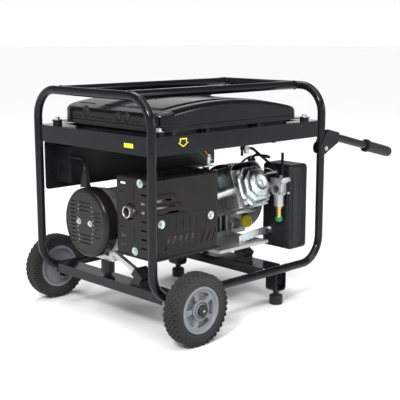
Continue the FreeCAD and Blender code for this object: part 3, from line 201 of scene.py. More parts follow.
FINISHES = {
    FRAME_PAINT: ["left_hoop", "right_hoop", "top_tubes", "frame_rails", "frame_brackets",
                  "handle_arm_near", "handle_arm_far"],
    TANK_PAINT: ["fuel_tank"],
    GUARD_PAINT: ["muffler_guard"],
    PANEL_PAINT: ["control_box", "control_panel", "blower_housing", "recoil_cover"],
    ZINC: ["fasteners", "valve_cover", "air_box_strap"],
    SHROUD: ["cooling_shroud"],
    STEEL: ["axle_bolts", "rotor", "crankshaft", "governor_lever"],
    MUFFLER_STEEL: ["muffler"],
    CAST: ["fuel_valve", "end_bracket", "front_bracket", "engine_block", "cylinder_head",
           "engine_base", "carburettor", "piston"],
    IRON: ["flywheel"],
    WINDING: ["stator"],
    PLASTIC: ["fuel_cap", "fuel_valve_lever", "power_sockets", "circuit_breaker",
              "breaker_toggle", "choke_lever", "air_box", "air_box_cover", "recoil_grip"],
    COVER_PLASTIC: ["alternator_cover"],
    GREY_PLASTIC: ["hub_near", "hub_far"],
    TYRE: ["tyre_near", "tyre_far"],
    RUBBER: ["rubber_feet", "handle_grip_near", "handle_grip_far", "tank_bushes", "fuel_hose",
             "spark_plug", "rubber_mounts", "conduit"],
    BRASS: ["fuel_solenoid"],
    YELLOW: ["oil_dipstick"],
    RED: ["switch_rocker"],
    WHITE: ["fuel_gauge", "voltmeter"],
    FOAM: ["air_filter"],
}
for surface_finish, names in FINISHES.items():
    for name in names:
        NODES[name].data.materials.clear()
        NODES[name].data.materials.append(surface_finish)


# ---------------------------------------------------------------- mesh tools
def piece(name, mesh, material, body, smooth=40):
    """Puts a finished bmesh into the scene as a named piece that rides on a body."""
    data = bpy.data.meshes.new(name)
    bmesh.ops.recalc_face_normals(mesh, faces=mesh.faces)
    mesh.to_mesh(data)
    mesh.free()
    data.shade_smooth()
    data.set_sharp_from_angle(angle=math.radians(smooth))
    data.materials.append(material)
    thing = bpy.data.objects.new(name, data)
    bpy.context.scene.collection.objects.link(thing)
    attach(thing, body)
    return thing


def frame_of(axis):
    """A matrix that turns +Z onto the axis."""
    return Vector(axis).to_track_quat("Z", "Y").to_matrix().to_4x4()


def turned(mesh, profile, place, axis, steps=32):
    """Adds a body of revolution: profile is (radius, height) in mm, along the axis from place."""
    turn = Matrix.Translation(place) @ frame_of(axis)
    rings = []
    for radius, height in profile:
        if radius < 1e-6:
            rings.append([mesh.verts.new(turn @ Vector((0, 0, height * MM)))])
            continue
        angles = [2 * math.pi * n / steps for n in range(steps)]
        rings.append([mesh.verts.new(turn @ (Vector((
            radius * math.cos(a), radius * math.sin(a), height)) * MM)) for a in angles])
    for low, high in zip(rings, rings[1:]):
        for n in range(steps):
            corners = [low[n % len(low)], low[(n + 1) % steps % len(low)],
                       high[(n + 1) % steps % len(high)], high[n % len(high)]]
            unique = list(dict.fromkeys(corners))
            if len(unique) > 2:
                mesh.faces.new(unique)


def swept(mesh, points, radius, steps=10, caps=True):
    """Adds a round tube of that radius in mm along world points, with caps on its ends."""
    points = [Vector(p) for p in points]
    side = None
    rings = []
    for n, point in enumerate(points):
        ahead = points[min(n + 1, len(points) - 1)] - points[max(n - 1, 0)]
        ahead.normalize()
        if side is None:
            side = ahead.orthogonal().normalized()
        side = (side - ahead * side.dot(ahead)).normalized()
        up = ahead.cross(side)
        angles = [2 * math.pi * k / steps for k in range(steps)]
        rings.append([mesh.verts.new(point + (side * math.cos(a) + up * math.sin(a))
                                     * radius * MM) for a in angles])
    for low, high in zip(rings, rings[1:]):
        for k in range(steps):
            mesh.faces.new([low[k], low[(k + 1) % steps], high[(k + 1) % steps], high[k]])
    if caps:
        mesh.faces.new(rings[0][::-1])
        mesh.faces.new(rings[-1])


def smooth_line(points, per_span=8):
    """Points along a smooth curve through the given ones."""
    points = [Vector(p) for p in points]
    ends = [2 * points[0] - points[1], *points, 2 * points[-1] - points[-2]]
    line = []
    for a, b, c, d in zip(ends, ends[1:], ends[2:], ends[3:]):
        for n in range(per_span):
            t = n / per_span
            line.append(0.5 * (2 * b + (c - a) * t + (2 * a - 5 * b + 4 * c - d) * t * t
                               + (3 * b - a - 3 * c + d) * t ** 3))
    return [*line, points[-1]]


def slab(mesh, outline, place, axis, thick, bevel=0.0):
    """Adds a plate: outline in mm across the axis at place, thick along it, edges eased."""
    turn = Matrix.Translation(place) @ frame_of(axis)
    low = [mesh.verts.new(turn @ (Vector((x, y, 0)) * MM)) for x, y in outline]
    face = mesh.faces.new(low)
    grown = bmesh.ops.extrude_face_region(mesh, geom=[face])
    top = [v for v in grown["geom"] if isinstance(v, bmesh.types.BMVert)]
    bmesh.ops.translate(mesh, verts=top, vec=turn.to_3x3() @ Vector((0, 0, thick * MM)))
    if bevel:
        edges = list({e for v in low + top for e in v.link_edges})
        bmesh.ops.bevel(mesh, geom=edges, offset=bevel * MM, segments=2, affect="EDGES",
                        profile=0.5)


def block(mesh, low, high, bevel=0.0):
    """Adds a box between two world corners, with eased edges."""
    low, high = Vector(low), Vector(high)
    width, depth = (high.x - low.x) / MM, (high.y - low.y) / MM
    slab(mesh, [(0, 0), (width, 0), (width, depth), (0, depth)], low, (0, 0, 1),
         (high.z - low.z) / MM, bevel)


# ---------------------------------------------------------------- wheels
WHEEL_R = (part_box("tyre_near")[1].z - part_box("tyre_near")[0].z) / 2 / MM


def middle(node):
    """The centre of a CAD node's box."""
    low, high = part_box(node)
    return (low + high) / 2


def tread_block(mesh, centre, arc, across, outline, low, high):
    """One rubber block: its outline in mm along and across the tread, between two radii."""
    rings = []
    for radius, size in ((low, 1.0), (high - 0.6, 0.96), (high, 0.84)):
        ring = []
        for s, t in outline:
            turn = (arc + s * size) / WHEEL_R
            ring.append(mesh.verts.new(centre + Vector((
                radius * math.sin(turn), across + t * size, radius * math.cos(turn))) * MM))
        rings.append(ring)
    for lower, upper in zip(rings, rings[1:]):
        for n in range(len(outline)):
            mesh.faces.new([lower[n], lower[n - 1], upper[n - 1], upper[n]])
    mesh.faces.new(rings[-1])


def tyre(node, body, inner=66.4):
    """A solid tyre with raised rings on its walls and a block tread; it stands for the node."""
    centre = middle(node)
    mesh = bmesh.new()
    half = [(inner, 19.5), (inner + 2, 21), (72, 21.4), (76, 22.6), (84, 23.4), (91, 22.4),
            (95.5, 19.6), (97.4, 15), (98.2, 7)]
    section = [(r, -h) for r, h in half] + [(r, h) for r, h in reversed(half)] + [(inner, -19.5)]
    turned(mesh, section, centre, (0, 1, 0), 96)
    for rim in (70.5, 74.5):
        for side in (-1, 1):
            turned(mesh, [(rim - 1.4, side * 20.6), (rim - 0.9, side * 22.4),
                          (rim + 0.9, side * 22.6), (rim + 1.5, side * 20.6)],
                   centre, (0, 1, 0), 96)
    count = 38
    pitch = 2 * math.pi * WHEEL_R / count
    diamond = [(-7.2, 0), (-3.4, 4.0), (3.4, 4.0), (7.2, 0), (3.4, -4.0), (-3.4, -4.0)]
    lug = [(-5.6, -3.4), (5.6, -3.4), (4.6, 3.6), (-4.6, 3.6)]
    for n in range(count):
        for row, across in enumerate((-14, -7, 0, 7, 14)):
            shift = n + 0.5 * (row % 2)
            tread_block(mesh, centre, shift * pitch, across, diamond, 97.6, WHEEL_R - 0.1)
        for side in (-1, 1):
            edge = [(s, side * t) for s, t in lug]
            tread_block(mesh, centre, (n + 0.5) * pitch, side * 19.8, edge, 93.0, WHEEL_R - 1.6)
    bmesh.ops.remove_doubles(mesh, verts=mesh.verts, dist=1e-6)
    tread = piece(f"{node}_tread", mesh, TYRE, body, 35)
    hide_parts(node)


def wheel_trim(node, body, side):
    """Raised rings, the web behind the windows and the round centre cap of a wheel."""
    centre = middle(node)
    mesh = bmesh.new()
    turned(mesh, [(60.0, 18.0), (60.6, 22.6), (63.0, 23.0), (65.4, 22.0), (66.2, 18.0)],
           centre, (0, side, 0), 72)
    turned(mesh, [(24.0, 18.0), (24.6, 22.4), (27.4, 22.4), (28.2, 18.0)],
           centre, (0, side, 0), 72)
    turned(mesh, [(14.0, -2.0), (14.0, -0.6), (60.0, -0.6), (60.0, -2.0)],
           centre, (0, side, 0), 72)
    piece(f"{node}_rings", mesh, GREY_PLASTIC, body)
    cap = bmesh.new()
    turned(cap, [(16.5, 20.0), (16.5, 29.5), (15.2, 31.6), (12.0, 32.4), (0, 32.6)],
           centre, (0, side, 0), 48)
    piece(f"{node}_cap", cap, PLASTIC, body, 30)


for end, side in (("near", -1), ("far", 1)):
    tyre(f"tyre_{end}", f"wheel_{end}")
    wheel_trim(f"hub_{end}", f"wheel_{end}", side)


# ---------------------------------------------------------------- engine
CYLINDER = Matrix.Translation(at(505, 322, 290)) @ Matrix.Rotation(math.radians(70), 4, "X")
UP, OUT = CYLINDER.to_3x3() @ Vector((0, 1, 0)), CYLINDER.to_3x3() @ Vector((0, 0, 1))


def on_cylinder(x, y, w):
    """The world point across (x), over (y) and out along (w) the slanted cylinder, in mm."""
    return CYLINDER @ (Vector((x, y, w)) * MM)


def octagon(inset, half_x=64.0, half_y=61.0, chamfer=32.0):
    """The rocker cover's outline, moved in by inset mm."""
    a, b, c = half_x - inset, half_y - inset, chamfer - 0.42 * inset
    return [(-a, -b + c), (-a + c, -b), (a - c, -b), (a, -b + c), (a, b - c), (a - c, b),
            (-a + c, b), (-a, b - c)]


def rocker_cover():
    """The stepped octagonal cover over the valve gear, with its round pressed dish."""
    mesh = bmesh.new()
    steps = [(0, 232), (0, 235), (1.5, 236.5), (7, 237), (9, 238.5), (12, 250), (14, 252),
             (21, 253), (23, 254.5), (25, 261), (27.5, 262.4)]
    rings = []
    for inset, w in steps:
        corners = octagon(inset)
        ring = []
        for n, corner in enumerate(corners):
            before, after = Vector(corners[n - 1]), Vector(corners[(n + 1) % 8])
            corner = Vector(corner)
            for share, other in ((0.13, before), (0.03, before), (0.03, after), (0.13, after)):
                x, y = corner.lerp(other, share)
                ring.append(mesh.verts.new(on_cylinder(x, y, w)))
        rings.append(ring)
    for low, high in zip(rings, rings[1:]):
        for n in range(len(low)):
            mesh.faces.new([low[n - 1], low[n], high[n], high[n - 1]])
    mesh.faces.new(rings[-1])
    mesh.faces.new(rings[0])
    dish = [(27, 262), (26, 264.4), (24.5, 265), (22, 264.2), (18, 262.9), (9, 262.7),
            (6.5, 263.0), (5, 264.6), (0, 265)]
    turned(mesh, dish, on_cylinder(5, 4, 0), OUT, 48)
    cover = piece("rocker_cover", mesh, ZINC, "root", 32)
    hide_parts("valve_cover")
    bolts = bmesh.new()
    for x, y in ((-50, -38), (50, -38), (-50, 38), (50, 38)):
        turned(bolts, [(0, 243), (4.2, 243), (4.8, 242), (4.8, 236.9), (7.5, 236.8), (7.5, 235)],
               on_cylinder(x, y, 0), OUT, 6)
    piece("rocker_cover_bolts", bolts, STEEL, "root", 30)


def head_casting():
    """Bosses, a light cast pad and cast fin edges round the cylinder head."""
    mesh = bmesh.new()
    for x, y in ((-47, -45), (47, -45), (-47, 45)):
        turned(mesh, [(9, 170), (9.5, 172), (9.5, 231), (8.5, 232.4), (0, 232.4)],
               on_cylinder(x, y, 0), OUT, 24)
    slab(mesh, [(-34, 0), (26, 0), (32, 10), (26, 34), (-30, 34), (-38, 18)],
         on_cylinder(0, -64, 214), UP, 4, 1.2)
    slab(mesh, [(-58, -20), (54, -26), (50, -4), (-48, 2)], on_cylinder(4, -61, 176),
         -UP, 12, 2.0)
    piece("head_castings", mesh, CAST, "root", 35)


def crankcase_castings():
    """Ribs, screw bosses and screws on the side of the crankcase."""
    mesh = bmesh.new()
    corners = ((410, 206), (572, 206), (410, 262), (572, 258))
    face = at(0, 236, 0).y
    for n in range(6):
        x = at(404 + 26 * n, 0, 0).x
        block(mesh, (x, face - 4 * MM, at(0, 0, 196).z),
              (x + 5 * MM, face + 10 * MM, at(0, 0, 262).z), 1.2)
    for x, z in corners:
        turned(mesh, [(9, -8), (9, 5), (7.6, 6.4), (0, 6.4)], at(x, 236, z), (0, -1, 0), 24)
    piece("crankcase_ribs", mesh, CAST, "root", 35)
    screws = bmesh.new()
    for x, z in corners:
        turned(screws, [(0, 12), (4.6, 12), (5.4, 11), (5.4, 6.2)], at(x, 236, z), (0, -1, 0), 6)
    piece("crankcase_screws", screws, STEEL, "root", 30)


def lead(name, points, radius, material):
    """A thin flexible lead from one fixed part to another, along one smooth curve."""
    curve = bpy.data.curves.new(name, "CURVE")
    curve.dimensions = "3D"
    curve.bevel_depth = radius * MM
    curve.bevel_resolution = 4
    curve.use_fill_caps = True
    line = curve.splines.new("NURBS")
    line.points.add(len(points) - 1)
    for knot, place in zip(line.points, points):
        knot.co = (*place, 1.0)
    line.order_u = 3
    line.use_endpoint_u = True
    line.resolution_u = 12
    curve.materials.append(material)
    cable = bpy.data.objects.new(name, curve)
    bpy.context.scene.collection.objects.link(cable)
    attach(cable, "root")


def engine_leads():
    """The spark plug's lead and the three thin leads that run up behind the tank rail."""
    plug = middle("spark_plug")
    start = plug + OUT * 0.006 + UP * 0.018
    lead("plug_lead", [start, start + OUT * 0.018 + UP * 0.018, at(560, 112, 456),
                       at(580, 102, 450), at(601, 128, 452), at(606, 180, 450),
                       at(605, 236, 432), at(604, 262, 404)],
         3.4, RUBBER)
    lead("earth_lead", [at(398, 198, 448), at(372, 188, 470), at(345, 205, 492),
                        at(330, 250, 505), at(322, 320, 505), at(330, 441, 480)],
         1.6, GREEN)
    lead("signal_lead", [at(404, 196, 452), at(385, 184, 478), at(362, 196, 498),
                         at(348, 250, 508), at(340, 330, 506), at(345, 441, 476)],
         1.8, ORANGE)
    lead("dark_lead", [at(412, 204, 448), at(396, 190, 484), at(380, 206, 500),
                       at(366, 262, 508), at(356, 340, 506), at(360, 441, 474)],
         2.2, RUBBER)
    clip = bmesh.new()
    slab(clip, [(0, 0), (26, 0), (26, 12), (15, 15), (13, 30), (0, 30)], at(392, 192, 440),
         (0, -1, 0), 2, 0.5)
    block(clip, at(388, 186, 438), at(428, 214, 441), 0.8)
    for x, y in ((398, 196), (420, 204)):
        turned(clip, [(0, 10), (4.6, 10), (5.4, 9), (5.4, 3), (8, 2.6), (8, 0)],
               at(x, y, 441), (0, 0, 1), 6)
    piece("lead_clip", clip, ZINC, "root", 30)


def shroud_sheet():
    """The bright pressed sheet that leads air over the barrel: rounded shoulders, open below."""
    half, top, low, corner, thick = 68.0, 78.0, -12.0, 34.0, 1.6
    outer = [(-half, low), (-half, 8)]
    for cx, start in ((-half + corner, 180), (half - corner, 90)):
        for n in range(9):
            turn = math.radians(start - 11.25 * n)
            outer.append((cx + corner * math.cos(turn), top - corner + corner * math.sin(turn)))
    outer += [(half, 8), (half, low)]
    mesh = bmesh.new()
    rows = []
    for w, flare in ((98, 2.0), (101, 0.4), (104, 0), (150, 0), (153, 1.2), (158, 1.2), (161, 0),
                     (214, 0), (217, 0.6), (220, 2.4)):
        rows.append([mesh.verts.new(on_cylinder(x * (1 + flare / half), y + flare, w))
                     for x, y in outer])
    for near, far in zip(rows, rows[1:]):
        for n in range(len(outer) - 1):
            mesh.faces.new([near[n], near[n + 1], far[n + 1], far[n]])
    sheet = piece("barrel_shroud", mesh, SHROUD, "root", 40)
    wall = sheet.modifiers.new("wall", "SOLIDIFY")
    wall.thickness = thick * MM
    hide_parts("cooling_shroud")
    bolts = bmesh.new()
    for x, w in ((-30, 116), (30, 116), (-26, 196)):
        turned(bolts, [(8.5, 0.6), (8.5, 2.0), (5.6, 2.2), (5.6, 6.4), (4.8, 7.2), (0, 7.2)],
               on_cylinder(x, 78, w), UP, 6)
    piece("shroud_bolts", bolts, STEEL, "root", 30)


def governor_plate():
    """A black sheet bracket with a round hole, in front of the crankcase."""
    mesh = bmesh.new()
    slab(mesh, [(0, 0), (66, 0), (78, 14), (70, 52), (44, 66), (8, 60), (0, 44)],
         at(436, 228, 204), (0, -1, 0), 3, 0.8)
    turned(mesh, [(15, 2.6), (14, 6.2), (11.5, 6.8), (10, 5.0), (10, 2.6)], at(462, 228, 240),
           (0, -1, 0), 36)
    piece("governor_plate", mesh, PANEL_PAINT, "root", 35)


rocker_cover()
shroud_sheet()
governor_plate()
head_casting()
crankcase_castings()
engine_leads()


# ---------------------------------------------------------------- muffler guard
GUARD_LOW, GUARD_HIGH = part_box("muffler_guard")


def guard_relief():
    """Pressed lines, louvre lips, rolled edges and top ribs on the muffler's guard."""
    mesh = bmesh.new()
    x0, y0, z0 = (Vector(GUARD_LOW) - ORIGIN) / MM
    x1, y1, z1 = (Vector(GUARD_HIGH) - ORIGIN) / MM
    line = 1.3
    for points in ([(x0, 124, 428), (x0, 124, 382)], [(x0, 124, 312), (x0, 124, 262)],
                   [(x0, 188, 336), (x0, 164, 336)], [(x0, 116, 342), (x0, 92, 342)]):
        swept(mesh, [at(*p) for p in points], line, 8)
    ring = [at(x0, 140 + 26 * math.cos(a), 348 + 26 * math.sin(a))
            for a in [math.radians(100 + 12 * n) for n in range(9)]]
    swept(mesh, ring, line, 8)
    for n, length in enumerate((78, 96, 114)):
        z = 395 - 28 * n
        swept(mesh, [at(x0 + 14, y0, z + 7), at(x0 + length, y0, z + 7),
                     at(x0 + length + 6, y0, z + 1)], 3.0, 10)
    bead = [(x0 + 2, y0, z0 + 5), (x1 - 3, y0, z0 + 5)]
    swept(mesh, [at(*p) for p in bead], 3.4, 12)
    swept(mesh, [at(x0, y0 + 4, z0 + 4), at(x0, y1 - 3, z0 + 4)], 2.4, 12)
    panel = [(x0 + 84, 342), (x1 - 54, 342), (x1 - 54, 286), (x0 + 84, 286), (x0 + 84, 342)]
    for (xa, za), (xb, zb) in zip(panel, panel[1:]):
        swept(mesh, [at(xa, y0, za), at(xb, y0, zb)], 1.1, 8)
    for x in (x0 + 110, x0 + 136, x0 + 162):
        swept(mesh, [at(x, y0, 332), at(x, y0, 296)], 1.6, 8)
    for n in range(9):
        x = x0 + 24 + 25 * n
        swept(mesh, smooth_line([at(x, y0 + 2.5, z1 - 3), at(x + 4, y0 + 20, z1 + 0.2),
                                 at(x + 16, y0 + 60, z1 + 0.2)], 6), 2.0, 8)
    piece("guard_pressings", mesh, GUARD_PAINT, "root", 50)


def guard_washers():
    """Bright dished washers under the screws that hold the guard."""
    mesh = bmesh.new()
    y0 = (GUARD_LOW.y - ORIGIN.y) / MM
    x0 = (GUARD_LOW.x - ORIGIN.x) / MM
    places = [(at(68, y0, 322), (0, -1, 0)), (at(257, y0, 322), (0, -1, 0)),
              (at(x0, 96, 432), (-1, 0, 0)), (at(x0, 120, 238), (-1, 0, 0))]
    for place, axis in places:
        turned(mesh, [(7.0, 0.4), (8.6, 1.8), (10.6, 2.2), (12.2, 1.4), (12.6, 0)], place, axis, 32)
    piece("guard_washers", mesh, ZINC, "root", 30)


def tailpipe_ring():
    """The rolled lip of the tailpipe."""
    mesh = bmesh.new()
    place = at(24, 140, 348)
    turned(mesh, [(13.2, 14), (13.2, 3), (13.8, 1.4), (15.2, 0.6), (16.8, 1.4), (17.4, 3.2),
                  (17.4, 16)], place, (1, 0, 0), 48)
    piece("tailpipe_ring", mesh, MUFFLER_STEEL, "root", 40)


guard_relief()
guard_washers()
tailpipe_ring()


# ---------------------------------------------------------------- frame
def bead_ring(mesh, place, axis, radius, size, seed):
    """A weld seam: a ring of small overlapping beads."""
    turn = Matrix.Translation(place) @ frame_of(axis)
    chance = random.Random(seed)
    count = 72
    points = []
    for n in range(count + 1):
        angle = 2 * math.pi * n / count
        wave = size * (0.35 + 0.18 * (n % 3)) + chance.uniform(-0.1, 0.1)
        points.append(turn @ (Vector((math.cos(angle) * (radius + wave * 0.4),
                                      math.sin(angle) * (radius + wave * 0.4), wave)) * MM))
    swept(mesh, points, size, 8, caps=False)


def welds():
    """Weld seams where the carrying tubes, the base tubes and the rails meet the hoops."""
    mesh = bmesh.new()
    for n, y in enumerate((103, 413)):
        bead_ring(mesh, at(11.6, y, 672.7), (1, 0, 0), 12.6, 1.7, n)
        bead_ring(mesh, at(691.4, y, 672.7), (-1, 0, 0), 12.6, 1.7, n + 5)
    for n, y in enumerate((0, 516)):
        bead_ring(mesh, at(547, y, 120.1), (1, 0, 0), 12.7, 0.7, n + 9)
    for n, (x, y, inward) in enumerate(((0, 0, 1), (0, 516, 1), (703, 0, -1), (703, 516, -1))):
        side = 1 if y == 0 else -1
        edge = [at(x + inward * 9.6, y + side * 9.4, z) for z in range(520, 566, 3)]
        swept(mesh, edge, 1.9, 8)
    piece("weld_seams", mesh, FRAME_PAINT, "root", 60)


def plain_stickers():
    """Two blank yellow patches: an arrow with a dark centre, and a plain rectangle."""
    patches, centre = bmesh.new(), bmesh.new()
    outline = [(-20, 0), (-13, 0), (-13, 12), (13, 12), (13, 0), (20, 0), (0, -12)]
    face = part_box("frame_rails")[0]
    for grow, proud, target in ((1.0, 0.25, patches), (0.72, 0.5, centre)):
        scaled = [(x * grow, y * grow) for x, y in outline]
        slab(target, scaled, Vector((at(112, 0, 0).x, face.y + 0.1 * MM, at(0, 0, 547).z)),
             (0, -1, 0), proud)
    slab(patches, [(-19, -6), (19, -6), (19, 6), (-19, 6)],
         Vector((face.x + 0.1 * MM, at(0, 92, 0).y, at(0, 0, 540).z)), (-1, 0, 0), 0.3)
    piece("sticker_patches", patches, YELLOW, "root", 30)
    piece("sticker_centre", centre, PANEL_PAINT, "root", 30)


def grip_ribs(end):
    """Moulded rings round a handle grip."""
    low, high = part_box(f"handle_grip_{end}")
    lean = math.radians(14)
    along = Vector((math.cos(lean), 0, -math.sin(lean)))
    y = (low.y + high.y) / 2
    tip = Vector((at(722.5, 0, 0).x, y, at(0, 0, 521.4).z)) + along * 357 * MM
    mesh = bmesh.new()
    for n in range(11):
        place = tip - along * (16 + 10 * n) * MM
        turned(mesh, [(16.6, -3.2), (17.6, -2.2), (17.6, 2.2), (16.6, 3.2)], place, along, 40)
    piece(f"grip_ribs_{end}", mesh, RUBBER, f"handle_{end}", 50)


welds()
plain_stickers()
for end in ("near", "far"):
    grip_ribs(end)


# ---------------------------------------------------------------- fuel tank
def tank_details():
    """The tank's raised crown panel, the dishes and lines in its end wall, and its seam bead."""
    tank = NODES["fuel_tank"]
    surface = BVHTree.FromObject(tank, bpy.context.evaluated_depsgraph_get())
    mesh = bmesh.new()
    (xa, ya), (xb, yb), edge = (96, 66), (604, 236), 16
    columns, rows = 84, 34
    rise, sunk = 3.2, 0.3
    grid = []
    for i in range(columns + 1):
        row = []
        for j in range(rows + 1):
            x, y = xa + (xb - xa) * i / columns, ya + (yb - ya) * j / rows
            inside = min(x - xa, xb - x, y - ya, yb - y) / edge
            swell = max(0.0, min(1.0, inside))
            swell = swell * swell * (3 - 2 * swell)
            hit = surface.ray_cast(at(x, y, 800), Vector((0, 0, -1)))[0]
            row.append(mesh.verts.new(hit + Vector((0, 0, (rise * swell - sunk) * MM))))
        grid.append(row)
    for near, far in zip(grid, grid[1:]):
        for j in range(rows):
            mesh.faces.new([near[j], near[j + 1], far[j + 1], far[j]])
    piece("tank_crown_panel", mesh, TANK_PAINT, "root", 60)
    dishes = bmesh.new()
    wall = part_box("fuel_tank")[0].x
    for y, z, radius in ((352, 612, 15), (206, 606, 11), (168, 606, 11)):
        hit = surface.ray_cast(at(-60, y, z), Vector((1, 0, 0)))[0]
        place = Vector((hit.x if hit else wall, at(0, y, 0).y, at(0, 0, z).z))
        turned(dishes, [(radius + 3, -1.0), (radius + 2, 1.2), (radius, 1.8), (radius - 2, 1.0),
                        (radius - 4, 0.3), (0, 0.3)], place, (-1, 0, 0), 40)
    for ya, yb in ((236, 330), (378, 448), (70, 146)):
        for z in (597, 630):
            hits = [surface.ray_cast(at(-60, y, z), Vector((1, 0, 0)))[0] for y in (ya, yb)]
            if all(hits):
                swept(dishes, hits, 1.6, 8)
    piece("tank_end_pressings", dishes, TANK_PAINT, "root", 50)
    bead = bmesh.new()
    line = []
    corner, proud, seam_height = 60, 0.2, 588
    left, right, near, far = 56.5, 644.5, 28.5, 487.5
    for cx, cy, start in ((right - corner, far - corner, 0), (left + corner, far - corner, 90),
                          (left + corner, near + corner, 180),
                          (right - corner, near + corner, 270)):
        for n in range(13):
            turn = math.radians(start + 7.5 * n)
            line.append(at(cx + (corner + proud) * math.cos(turn),
                           cy + (corner + proud) * math.sin(turn), seam_height))
    swept(bead, [*line, line[0], line[1]], 1.5, 8, caps=False)
    piece("tank_seam_bead", bead, TANK_PAINT, "root", 60)


def cap_grip():
    """Finger ribs round the fuel cap."""
    centre = middle("fuel_cap")
    low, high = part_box("fuel_cap")
    mesh = bmesh.new()
    radius = (high.x - low.x) / 2 / MM
    for n in range(30):
        turn = 2 * math.pi * n / 30
        spot = Vector((math.cos(turn), math.sin(turn), 0)) * (radius - 0.6) * MM
        foot = Vector((centre.x, centre.y, low.z + 5 * MM)) + spot
        swept(mesh, [foot, foot + Vector((0, 0, (high.z - low.z) - 9 * MM))], 1.5, 8)
    piece("fuel_cap_ribs", mesh, PLASTIC, "tank_cap", 50)


def gauge_face():
    """A needle and plain ticks under the gauge's rim."""
    low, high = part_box("fuel_gauge")
    centre = Vector(((low.x + high.x) / 2, (low.y + high.y) / 2, high.z))
    rim, marks = bmesh.new(), bmesh.new()
    turned(rim, [(20.4, -3.0), (20.4, 0.6), (21.6, 1.6), (23.2, 0.8), (23.2, -3.0)], centre,
           (0, 0, 1), 48)
    for n in range(9):
        turn = math.radians(-60 + 15 * n)
        inner, outer = 13.5, 17.5
        swept(marks, [centre + Vector((math.sin(turn), math.cos(turn), 0.02)) * r * MM
                      for r in (inner, outer)], 0.5, 6)
    turn = math.radians(28)
    swept(marks, [centre + Vector((math.sin(turn) * r, math.cos(turn) * r, 0.8)) * MM
                  for r in (-3, 15)], 0.7, 6)
    piece("gauge_rim", rim, STEEL, "root", 40)
    piece("gauge_marks", marks, PANEL_PAINT, "root", 60)


# ---------------------------------------------------------------- alternator end
def cover_details():
    """The cover's two rolled rims and its bright slot ends."""
    centre = middle("alternator_cover")
    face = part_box("alternator_cover")[0].x
    place = Vector((face, centre.y, centre.z))
    rim = bmesh.new()
    turned(rim, [(101.5, 9), (102.6, 12), (103.0, 16), (103.0, 20), (101.5, 21)], place,
           (1, 0, 0), 96)
    turned(rim, [(87.0, 1.2), (88.0, -0.6), (89.6, -1.0), (91.2, -0.4), (92.2, 1.6)], place,
           (1, 0, 0), 96)
    piece("cover_rim", rim, COVER_PLASTIC, "root", 50)
    clips = bmesh.new()
    for n in range(9):
        z = -52 + 13 * n
        for side in (-1, 1):
            y = side * (30 + 0.16 * (52 - abs(z)))
            spot = place + Vector((0.6, y, z)) * MM
            block(clips, spot - Vector((1.0, 1.7, 1.3)) * MM, spot + Vector((0.4, 1.7, 1.3)) * MM,
                  0.4)
    piece("cover_slot_ends", clips, ZINC, "root", 30)


def boot_rings():
    """Ribs round the cable boot."""
    foot, top = at(42, 345, 393), at(42, 345, 434)
    mesh = bmesh.new()
    for n in range(5):
        place = foot + (top - foot) * (0.30 + 0.16 * n)
        turned(mesh, [(8.2, -2), (10.4 - 0.5 * n, -1.2), (10.4 - 0.5 * n, 1.2), (8.2, 2)], place,
               (0, 0, 1), 28)
    piece("boot_rings", mesh, RUBBER, "root", 40)


def bracket_ribs():
    """Cast screw bosses and their screws round the alternator's end bracket."""
    centre = at(74, 322, 290)
    mesh, screws = bmesh.new(), bmesh.new()
    for turn in (45, 135, 225, 315):
        spoke = Vector((0, math.cos(math.radians(turn)), math.sin(math.radians(turn))))
        place = centre + spoke * 93 * MM
        turned(mesh, [(9, -8), (9, 12), (7.8, 13.4), (0, 13.4)], place, (-1, 0, 0), 24)
        turned(screws, [(0, 18.4), (5.2, 18.4), (6.0, 17.4), (6.0, 13.2)], place, (-1, 0, 0), 6)
    piece("bracket_bosses", mesh, CAST, "root", 35)
    piece("bracket_screws", screws, STEEL, "root", 30)


# ---------------------------------------------------------------- carburettor side
def solenoid_cap():
    """The green cap under the fuel cut-off solenoid."""
    low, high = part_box("fuel_solenoid")
    place = Vector(((low.x + high.x) / 2, (low.y + high.y) / 2, low.z))
    mesh = bmesh.new()
    turned(mesh, [(0, -0.6), (8.6, -0.6), (10.8, 1.4), (11.4, 6), (11.4, 13), (10.2, 15),
                  (8.4, 15.4)], place, (0, 0, 1), 32)
    piece("solenoid_cap", mesh, GREEN, "root", 40)


def carburettor_details():
    """Screws, bowl clamp, throttle rod and spring on the carburettor."""
    cast, bright = bmesh.new(), bmesh.new()
    centre = at(584, 66, 0)
    for z, radius in ((338, 18.2), (331, 16.6), (304, 16.6)):
        turned(cast, [(15.0, -1.6), (radius, -1.4), (radius, 1.4), (15.0, 1.6)],
               centre + Vector((0, 0, z)) * MM, (0, 0, 1), 32)
    slab(cast, [(-22, -4), (22, -4), (22, 6), (12, 10), (-12, 10), (-22, 6)], at(584, 42, 384),
         (0, -1, 0), 5, 1.2)
    for x, z in ((568, 384), (600, 384), (572, 344), (596, 344)):
        turned(bright, [(0, 5.4), (3.4, 5.4), (4.0, 4.6), (4.0, 0)], at(x, 41, z), (0, -1, 0), 6)
    coil = [at(520 + 44 * n / 90, 60 + 2.6 * math.cos(n * 0.7), 412 + 2.6 * math.sin(n * 0.7))
            for n in range(91)]
    swept(bright, coil, 0.6, 6)
    swept(bright, [at(498, 62, 408), at(566, 62, 416), at(584, 70, 398)], 1.1, 8)
    swept(bright, smooth_line([at(500, 96, 420), at(540, 80, 424), at(582, 74, 404)]), 1.0, 8)
    piece("carburettor_body_details", cast, CAST, "root", 35)
    piece("carburettor_linkage", bright, STEEL, "root", 50)


